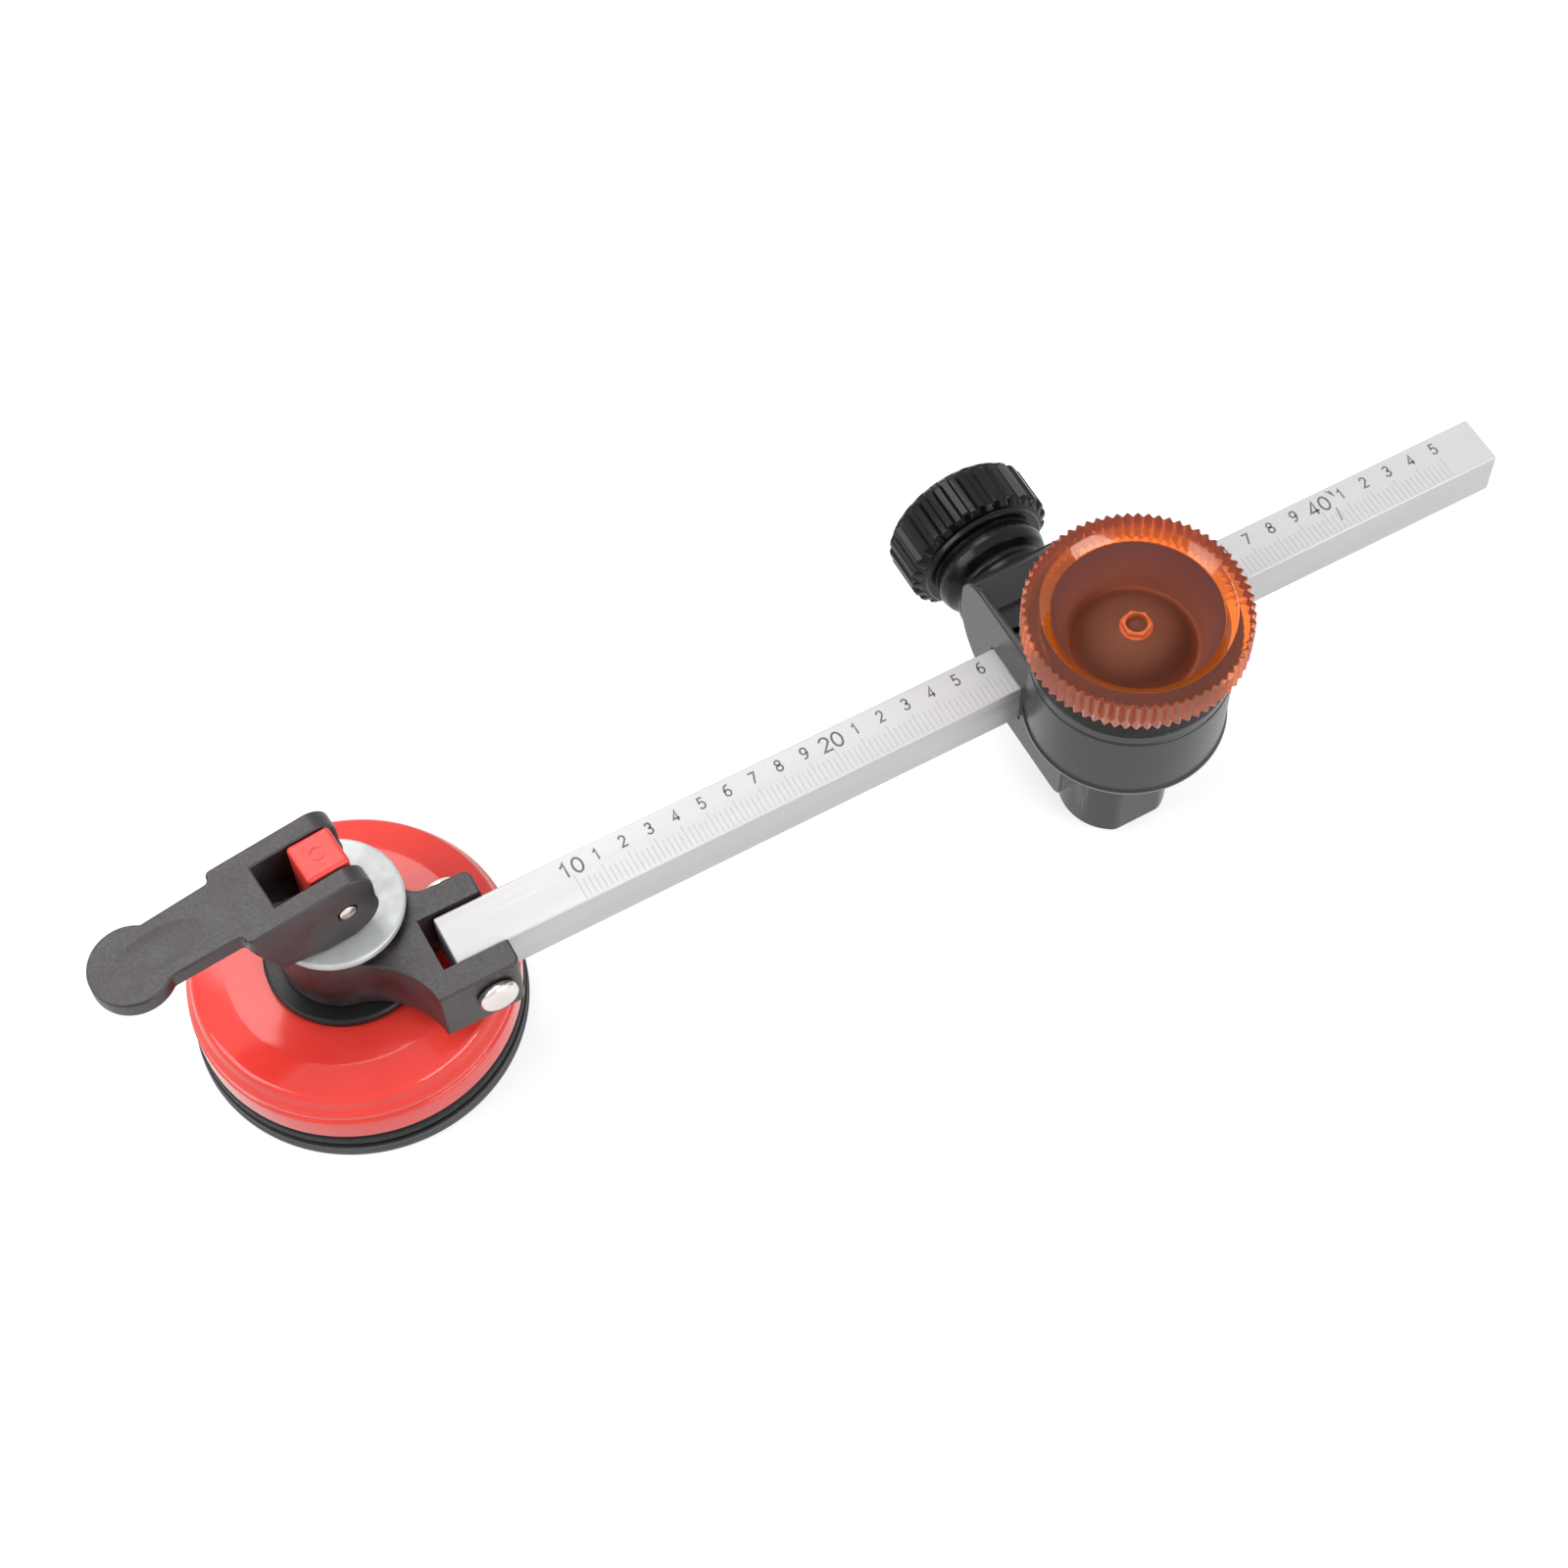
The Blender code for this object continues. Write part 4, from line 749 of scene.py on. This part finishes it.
def buildLever():
    v = lever
    body = prism("camLever", leverPlan(), v["pin"] - 12, v["pin"] + 12)
    side = shift(prism("leverSide", leverSide(), -v["width"], v["width"]), z=v["pin"], turn=upright)
    carve(body, [side], "INTERSECT")
    half = v["slot"] / 2
    slot = block("leverSlot", (-v["slotBack"], -half, v["pin"] - 10), (v["front"], half, v["pin"] + 12))
    hole = shift(rod("leverHole", v["pinHole"], -12, 12, 48), z=v["pin"], turn=alongY)
    carve(body, [slot, hole])
    softenEdges(weldPlanes(body), v["edge"], 3, 30, clamp=False)
    carve(body, [thumbScoop()])
    shift(smoothFlats(body), turn=leverTurn)
    settle(body, "lever", "charcoal", ["cam_lever"])
    dome = v["pinHalf"] - v["pinDome"]
    pinLoop = roundLoop([(0, -v["pinHalf"]), (v["pinRadius"], -dome, v["pinEdge"]),
                         (v["pinRadius"], dome, v["pinEdge"]), (0, v["pinHalf"])])
    pin = shift(lathe("leverPin", pinLoop, 48), z=v["pin"], turn=alongY)
    settle(shift(pin, turn=leverTurn), "lever", "nickel", ["lever_pin"])


buildPlunger()
buildLever()
print("plunger and lever built")


# Swing arm

arm = {"hub": 11.5, "low": 21.7, "hubTop": 35.7, "forkTop": 34.9, "reach": 22.8, "back": 8.0, "slotStart": 11.0,
       "slot": 10.4, "y": -13.8, "side": 4.9, "sweep": 14.5, "fillet": 3.5, "corner": 1.6, "bore": 7.5,
       "pinX": 17.6, "pinZ": 29.2, "pinHole": 2.45, "inset": 2.5, "edge": 0.45}


def armOutline():
    a = arm
    width = a["slot"] + a["side"] * 2
    near, far = a["y"] - width / 2, a["y"] + width / 2
    sweepX = a["back"] - a["sweep"]
    sweepY = -math.sqrt((a["hub"] + a["sweep"]) ** 2 - sweepX ** 2)
    meet = math.degrees(math.atan2(-sweepY, -sweepX))
    bottom = math.degrees(math.asin((near - sweepY) / a["sweep"]))
    outline = arcPoints(sweepX, sweepY, a["sweep"], meet, bottom, 32)
    outline += arcPoints(a["reach"] - a["corner"], near + a["corner"], a["corner"], -90, 0, 8)
    outline += arcPoints(a["reach"] - a["corner"], far - a["corner"], a["corner"], 0, 90, 8)
    filletY = far + a["fillet"]
    filletX = math.sqrt((a["hub"] + a["fillet"]) ** 2 - filletY ** 2)
    hubStart = math.degrees(math.atan2(filletY, filletX))
    hubEnd = 360 + math.degrees(math.atan2(sweepY, sweepX))
    outline += arcPoints(filletX, filletY, a["fillet"], -90, hubStart - 180, 12)
    # the hub itself is a rod, so the outline steps in behind its wall
    return outline + arcPoints(0, 0, a["hub"] - a["inset"], hubStart, hubEnd, 60)


def buildArm():
    a = arm
    body = prism("swingArm", armOutline(), a["low"], a["forkTop"])
    softenEdges(body, a["edge"], 3, 30)
    carve(body, [rod("armHub", a["hub"], a["low"], a["hubTop"], 128, a["edge"])], "UNION")
    half = a["slot"] / 2
    slot = block("forkSlot", (a["slotStart"], a["y"] - half, a["low"] - 2),
                 (a["reach"] + 2, a["y"] + half, a["forkTop"] + 2))
    bore = rod("armBore", a["bore"], a["low"] - 2, a["hubTop"] + 2, 96)
    pinHole = shift(rod("armPinHole", a["pinHole"], -14, 14, 48), a["pinX"], a["y"], a["pinZ"], alongY)
    carve(body, [slot, bore, pinHole])
    smoothFlats(weldPlanes(body))
    settle(body, "arm", "charcoal", ["swing_arm"])


rivet = {"shank": 2.2, "bore": 1.6, "boreEnd": 6.3, "spigot": 1.3, "spigotEnd": 6.0, "gap": 0.3,
         "head": 3.5, "face": 3.0, "side": 1.1, "thick": 1.7}


def buildForkPin():
    # the shank is open at its far end for the cap's spigot
    r = rivet
    out = arm["slot"] / 2 + arm["side"] + r["gap"]
    pinLoop = [
        (0, -out - r["thick"]), (r["face"], -out - r["thick"], 0.8), (r["head"], -out - r["side"], 0.5),
        (r["head"], -out, 0.2), (r["shank"], -out), (r["shank"], out - r["gap"], 0.1), (r["bore"], out - r["gap"]),
        (r["bore"], out - r["boreEnd"]), (0, out - r["boreEnd"])]
    capLoop = [
        (0, out - r["spigotEnd"]), (r["spigot"], out - r["spigotEnd"], 0.2), (r["spigot"], out),
        (r["head"], out, 0.2), (r["head"], out + r["side"], 0.5), (r["face"], out + r["thick"], 0.8),
        (0, out + r["thick"])]
    for name, loop, node in (("forkPin", pinLoop, "bar_pin"), ("forkPinCap", capLoop, "pin_cap")):
        item = shift(lathe(name, roundLoop(loop, 5), 96), arm["pinX"], arm["y"], arm["pinZ"], alongY)
        settle(item, "arm", "nickel", [node])


buildArm()
buildForkPin()
print("arm built")


# Scale bar with its printed scale

bar = {"start": 13.6, "length": 208.4, "side": 9.6, "y": -13.8, "z": 29.2, "edge": 0.32}
scale = {"first": 10, "last": 45, "unit": 5.0, "perUnit": 5, "zero": -12.15, "front": -18.1, "fine": 3.6,
         "unitLine": 4.5, "tenLine": 4.9, "line": 0.15, "height": 0.02, "advance": 0.64, "lastWidth": 0.57,
         # height, stroke, widening, shift to the right and drop of a digit
         "small": (2.38, 0.33, 1, 0.15, 0), "big": (3.15, 0.4, 1.16, 0.25, 0.3),
         "textY": -11.45, "inkRise": 0.02, "scuffWidth": 0.231,
         "scuffs": [[(190.85, -9.65), (191.3, -10.3), (191.8, -11.3)], [(191.4, -9.8), (191.75, -10.8)],
                    [(190.6, -13.6), (190.15, -16.4)]]}


def buildBar():
    b = bar
    half = b["side"] / 2
    low = (b["start"], b["y"] - half, b["z"] - half)
    body = block("scaleBar", low, (b["start"] + b["length"], b["y"] + half, b["z"] + half))
    softenEdges(body, b["edge"], 3)
    carve(body, [shift(rod("barHole", arm["pinHole"], -8, 8, 48), arm["pinX"], b["y"], b["z"], alongY)])
    smoothMesh(body.data, 40)
    settle(body, "bar", "aluminium", ["scale_bar"])


def buildTicks():
    s = scale
    bm = bmesh.new()
    bm.verts.new((0, 0, 0))
    row = meshObject("scaleLines", bm)
    runTree(row, ticks, {
        "Count": (s["last"] - s["first"]) * s["perUnit"] + 1.0, "Pitch": s["unit"] / s["perUnit"] * mm,
        "Thickness": s["line"] * mm, "Fine": s["fine"] * mm, "Unit": s["unitLine"] * mm,
        "Ten": s["tenLine"] * mm, "Height": s["height"] * 2 * mm, "Material": looks["etched"]})
    shift(row, s["zero"] + s["first"] * s["unit"], s["front"], bar["z"] + bar["side"] / 2)
    settle(row, "bar", "etched", ())


# each digit as strokes in a box one unit high; a True marks a closed stroke
digitStrokes = {
    "0": [(ovalPoints(0.29, 0.5, 0.235, 0.45, 0, 360), True)],
    "1": [([(0.10, 0.73), (0.22, 0.80), (0.32, 0.96), (0.32, 0.03)], False)],
    "2": [(ovalPoints(0.28, 0.70, 0.21, 0.25, 168, -28) + [(0.08, 0.06), (0.53, 0.06)], False)],
    "3": [(ovalPoints(0.27, 0.73, 0.19, 0.22, 160, -80) + ovalPoints(0.26, 0.29, 0.23, 0.24, 78, -165), False)],
    "4": [([(0.53, 0.27), (0.05, 0.27), (0.39, 0.94), (0.39, 0.03)], False)],
    "5": [([(0.49, 0.94), (0.15, 0.94)] + ovalPoints(0.27, 0.33, 0.23, 0.28, 128, -155), False)],
    "6": [(ovalPoints(0.28, 0.31, 0.22, 0.265, 0, 360), True),
          (ovalPoints(0.36, 0.36, 0.30, 0.585, 172, 68), False)],
    "7": [([(0.05, 0.94), (0.52, 0.94), (0.22, 0.03)], False)],
    "8": [(ovalPoints(0.28, 0.735, 0.185, 0.21, 0, 360), True),
          (ovalPoints(0.28, 0.285, 0.23, 0.24, 0, 360), True)],
}
digitStrokes["9"] = [([(0.56 - x, 1 - y) for x, y in points], closed) for points, closed in digitStrokes["6"]]


def addStroke(bm, points, closed, width, low, high):
    # a thin flat ribbon with mitred corners, in millimetres
    tiny, sharpest = 1e-6, 0.2
    sections = []
    count = len(points)
    for index, point in enumerate(points):
        here = Vector(point)
        before = Vector(points[index - 1]) if closed or index else here
        after = Vector(points[(index + 1) % count]) if closed or index < count - 1 else here
        first, second = here - before, after - here
        if first.length < tiny:
            first = second
        if second.length < tiny:
            second = first
        across = first.normalized() + second.normalized()
        across = Vector((-across.y, across.x)).normalized()
        side = Vector((-second.y, second.x)).normalized()
        reach = min(width / 2 / max(sharpest, across.dot(side)), width)
        left, right = here + across * reach, here - across * reach
        corners = ((left, low), (left, high), (right, high), (right, low))
        sections.append([bm.verts.new((spot.x * mm, spot.y * mm, z * mm)) for spot, z in corners])
    for first, second in zip(sections, sections[1:] + (sections[:1] if closed else [])):
        for step in range(4):
            bm.faces.new((first[step], first[(step + 1) % 4], second[(step + 1) % 4], second[step]))
    if not closed:
        bm.faces.new(sections[0])
        bm.faces.new(sections[-1][::-1])


def buildNumbers():
    s = scale
    top = bar["z"] + bar["side"] / 2
    bm = bmesh.new()
    for number in range(s["first"], s["last"] + 1):
        big = number % 10 == 0
        height, stroke, wide, right, drop = s["big" if big else "small"]
        text = str(number if big else number % 10)
        length = wide * height * (s["advance"] * (len(text) - 1) + s["lastWidth"])
        start = s["zero"] + number * s["unit"] + right - length / 2
        base = s["textY"] - drop - height / 2
        for place, digit in enumerate(text):
            for points, closed in digitStrokes[digit]:
                spots = [(start + wide * height * (x + place * s["advance"]), base + height * y) for x, y in points]
                addStroke(bm, spots, closed, stroke, top - s["inkRise"], top + s["inkRise"])
    for points in s["scuffs"]:
        addStroke(bm, points, False, s["scuffWidth"], top - s["inkRise"], top + s["inkRise"] / 2)
    settle(meshObject("scaleNumbers", bm), "bar", "ink", ())


buildBar()
buildTicks()
buildNumbers()
print("bar and scale built")


# Cutting head

head = {"left": 121.9, "width": 23.0, "radius": 17.5, "bore": 16.2, "ledge": 29.2, "floor": 36.6, "rim": 51.8,
        "step": 47.6, "blockTop": 44.3, "blockLow": 17.6, "front": -33.0, "middle": -15.4, "rear": 2.0,
        "frontCorner": 2.6, "backCorner": 13.0, "backRise": 4.8, "topCorner": 6.5, "blockEdge": 0.5, "bead": 0.35,
        "line": 45.1, "lineDepth": 0.28, "rimStep": 0.8, "shelf": 1.2,
        "shelves": ((0, 0.7), (9.9, 1.9), (13.9, 3.1)), "nose": 9.8, "noseFlat": 8.7, "noseShift": 0.4,
        "noseLow": 2.4, "noseEdge": 1.0, "bush": 4.7, "bushTop": 15.8, "stem": 2.3, "tunnel": 5.15, "clamp": 10.4,
        "clampBoss": 6.2, "bossLow": -5.9, "insert": 4.8, "shoe": 4.3, "shoeEnd": -6.0, "cutTurn": 0.011}


def blockSide():
    h = head
    back, top = h["backCorner"], h["topCorner"]
    outline = [(h["front"], h["blockTop"]), (h["front"], h["blockLow"], h["frontCorner"]), (h["middle"], h["blockLow"])]
    outline += arcPoints(h["rear"] - back, bar["z"] + h["backRise"], back, -70, 0, 28)
    return roundLoop(outline + arcPoints(h["rear"] - top, h["blockTop"] - top, top, 0, 90, 16), 7)


def buildTank():
    h = head
    wide = h["radius"]
    beadOut, lineIn, rimOut = wide + h["bead"], wide - h["lineDepth"], wide - h["rimStep"]
    loop = roundLoop([
        (0, h["ledge"]), (wide - 0.2, h["ledge"]), (beadOut, h["ledge"] + 0.1, 0.2), (beadOut, h["ledge"] + 0.8, 0.5),
        (wide, h["ledge"] + 1.25, 0.2), (wide, h["line"] - 0.2), (lineIn, h["line"], 0.1),
        (lineIn, h["line"] + 0.35, 0.1), (wide - 0.05, h["line"] + 0.6, 0.1), (wide - 0.05, h["step"], 0.2),
        (rimOut, h["step"], 0.1), (rimOut, h["rim"], 0.3), (0, h["rim"])], 5)
    return shift(lathe("headBody", loop), *tankAxis)


def buildGuide():
    # the outline lies in Y and Z, and is drawn out along X
    h = head
    turn = Matrix(((0, 0, 1, 0), (1, 0, 0, 0), (0, 1, 0, 0), (0, 0, 0, 1)))
    guide = shift(prism("headGuide", blockSide(), h["left"], h["left"] + h["width"]), turn=turn)
    softenEdges(guide, h["blockEdge"], 3, 30)
    steps = []
    for start, depth in h["shelves"]:
        low = (h["left"] + h["shelf"], tankAxis[1], h["blockTop"] - depth)
        high = (h["left"] + h["width"] + 2, h["rear"] - start + 0.3, h["blockTop"] + 2)
        steps.append(block("headStep", low, high))
    return carve(guide, steps)


def headCuts():
    # upright cuts are turned a little, so no corner of theirs lies on an edge of the body
    h = head
    rods = []
    for name, radius, low, high, steps in (
            ("tankCut", h["bore"], h["floor"], h["rim"] + 2, 128), ("bushCut", h["bush"], 1.0, h["bushTop"], 64),
            ("stemCut", h["stem"], 2.0, h["floor"] + 1, 48)):
        rods.append(shift(rod(name, radius, low, high, steps), *tankAxis,
                          turn=Matrix.Rotation(h["cutTurn"], 4, "Z")))
    side, shoe, clamp = h["tunnel"], h["shoe"], h["left"] + h["clamp"]
    tunnel = block("tunnelCut", (h["left"] - 2, bar["y"] - side, bar["z"] - side),
                   (h["left"] + 42, bar["y"] + side, bar["z"] + side))
    pocket = block("shoeCut", (clamp - shoe, bar["y"], bar["z"] - shoe), (clamp + shoe, h["shoeEnd"], bar["z"] + shoe))
    insert = shift(rod("insertCut", h["insert"], h["shoeEnd"] - 0.3, 4.0), clamp, 0, bar["z"], alongY)
    return rods + [tunnel, pocket, insert]


def buildHead():
    h = head
    body = buildTank()
    # the boss ends just short of the guide's rear face, so no two faces coincide
    boss = rod("headBoss", h["clampBoss"], h["bossLow"], h["rear"] - 0.05)
    shift(boss, h["left"] + h["clamp"], 0, bar["z"], alongY)
    halfDeg = math.degrees(math.acos(h["noseFlat"] / h["nose"]))
    noseLoop = arcPoints(-h["noseShift"], 0, h["nose"], -90 + halfDeg, 270 - halfDeg, 72)
    nose = shift(prism("headNose", noseLoop, h["noseLow"], h["ledge"] + 1.5), *tankAxis)
    softenEdges(nose, h["noseEdge"], 4, 22)
    carve(body, [buildGuide(), boss, nose], "UNION")
    carve(body, headCuts())
    smoothFlats(weldPlanes(body))
    settle(body, "head", "charcoalHead", ["head_body"])


seal = {"inner": 17.0, "outer": 17.6, "lip": 17.85, "bore": 16.2, "low": 47.9, "step": 52.1, "slope": 0.2, "top": 53.2}


def buildSeal():
    s = seal
    loop = roundLoop([
        (s["inner"], s["low"], 0.1), (s["outer"], s["low"], 0.25), (s["outer"], s["step"] - s["slope"], 0.15),
        (s["lip"], s["step"], 0.2), (s["lip"], s["top"], 0.35), (s["bore"], s["top"], 0.2),
        (s["bore"], s["step"], 0.05), (s["inner"], s["step"], 0.05)])
    settle(shift(lathe("capSeal", loop), *tankAxis), "seal", "sealRubber", ["cap_seal"])


cap = {"radius": 19.5, "toothDepth": 0.8, "teeth": 68, "land": 0.12, "low": 53.5, "top": 60.3, "rimOuter": 18.6,
       "rimInner": 16.45, "slopeDrop": 1.6, "well": 14.6, "floorRadius": 11.2, "floor": 49.3, "rise": 6.0,
       "wall": 1.6, "plug": 15.9,
       "boss": {"radius": 2.65, "edge": 0.2, "height": 0.7, "depth": 1.4, "dip": 1.9, "dipDepth": 1.1, "turn": 0.4}}


def buildCap():
    c = cap
    under, over = [], []
    for step in range(10):
        share = step / 10
        height = c["floor"] + c["rise"] * (1 - share ** 2)
        under.append((c["floorRadius"] * share, height - c["wall"]))
        over.append((c["floorRadius"] * share, height))
    low = c["floor"] - c["wall"]
    outer = [
        (c["floorRadius"], low, 1.2), (c["plug"], low, 0.8), (c["plug"], c["low"], 0.3), (c["radius"], c["low"], 0.25),
        (c["radius"], c["top"] - 0.3, 0.12), (c["radius"] - 0.35, c["top"], 0.12), (c["rimInner"], c["top"], 0.5),
        (c["well"], c["top"] - c["slopeDrop"], 0.5), (c["floorRadius"], c["floor"], 1.4)]
    loop = roundLoop(under + outer + over[::-1], 5)
    rim = (c["rimOuter"] + 0.05, c["low"] - 0.05, c["rimOuter"] - 0.1, c["radius"] - c["rimOuter"] - 0.2)
    body = toothedBody("oilCap", loop, rim, c["teeth"], 6, c["toothDepth"], c["land"], "orangeCap")
    b = c["boss"]
    top, wide = c["floor"] + c["rise"] + b["height"], b["radius"]
    bossLoop = [(0, top - b["depth"]), (wide, top - b["depth"]), (wide, top - b["edge"]), (wide - b["edge"], top),
                (0, top)]
    carve(body, [lathe("capBoss", bossLoop, 6, b["turn"])], "UNION")
    carve(body, [rod("capDip", b["dip"], top - b["dipDepth"], top + 1, 40)])
    shift(body, *tankAxis)
    smoothMesh(body.data, 28)
    settle(body, "cap", "orangeCap", ["oil_cap"])


buildHead()
buildSeal()
buildCap()
print("head and cap built")


# Clamp knob; its profile gives radius, height and corner from the base, from the rim and from the end

knob = {"x": 132.3, "z": 29.2, "base": 2.3, "rim": 11.9, "end": 22.1, "radius": 13.9, "ribs": 26, "ribDepth": 0.8,
        "land": 0.62, "profile": [
            ("base", [(3.2, 0), (9.6, 0, 0.3), (9.6, 1.2, 0.6), (8.5, 2.4, 1.6)]),
            ("rim", [(8.7, -6.5, 1.6), (10.1, -5.3, 1.2), (10.6, -3.6, 2.0), (10.3, -2.2, 0.5), (10.0, -1.9, 0.2),
                     (10.0, -1.1, 0.15), (11.6, -1.1, 0.4), (11.8, -0.1, 0.2), (12.4, 0, 0.15), (13.9, 0.9, 0.4)]),
            ("end", [(13.9, -1.1, 0.8), (12.6, 0, 0.7), (9.6, 0, 0.6), (8.3, -1.2, 0.6), (5.2, -1.2, 0.2),
                     (5.2, -5.1), (3.2, -5.1)])]}


def buildKnob():
    k = knob
    points = [(radius, k[level] + height, *corner) for level, rows in k["profile"] for radius, height, *corner in rows]
    core = k["radius"] - k["ribDepth"]
    rim = (core - 0.2, k["rim"] - 0.2, core - 0.25, k["ribDepth"] - 0.1)
    body = toothedBody("clampKnob", roundLoop(points, 5), rim, k["ribs"], 18, k["ribDepth"], k["land"], "blackGloss")
    shift(body, k["x"], 0, k["z"], alongY)
    smoothMesh(body.data, 38)
    settle(body, "knob", "blackGloss", ["clamp_knob"])


buildKnob()
print("knob built")


# Carried over nodes that are small or mostly hidden

carried = {"brass": ["threaded_insert", "holder_bush"], "felt": ["oil_wick"], "steel": [
    "clamp_stud", "clamp_shoe", "holder_clip", "wheel_holder", "wheel_axle", "cutting_wheel"]}
for look, names in carried.items():
    for name in names:
        paintWith(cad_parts[name], look)
print("hidden nodes carried over")

bpy.context.scene.view_settings.view_transform = "Standard"
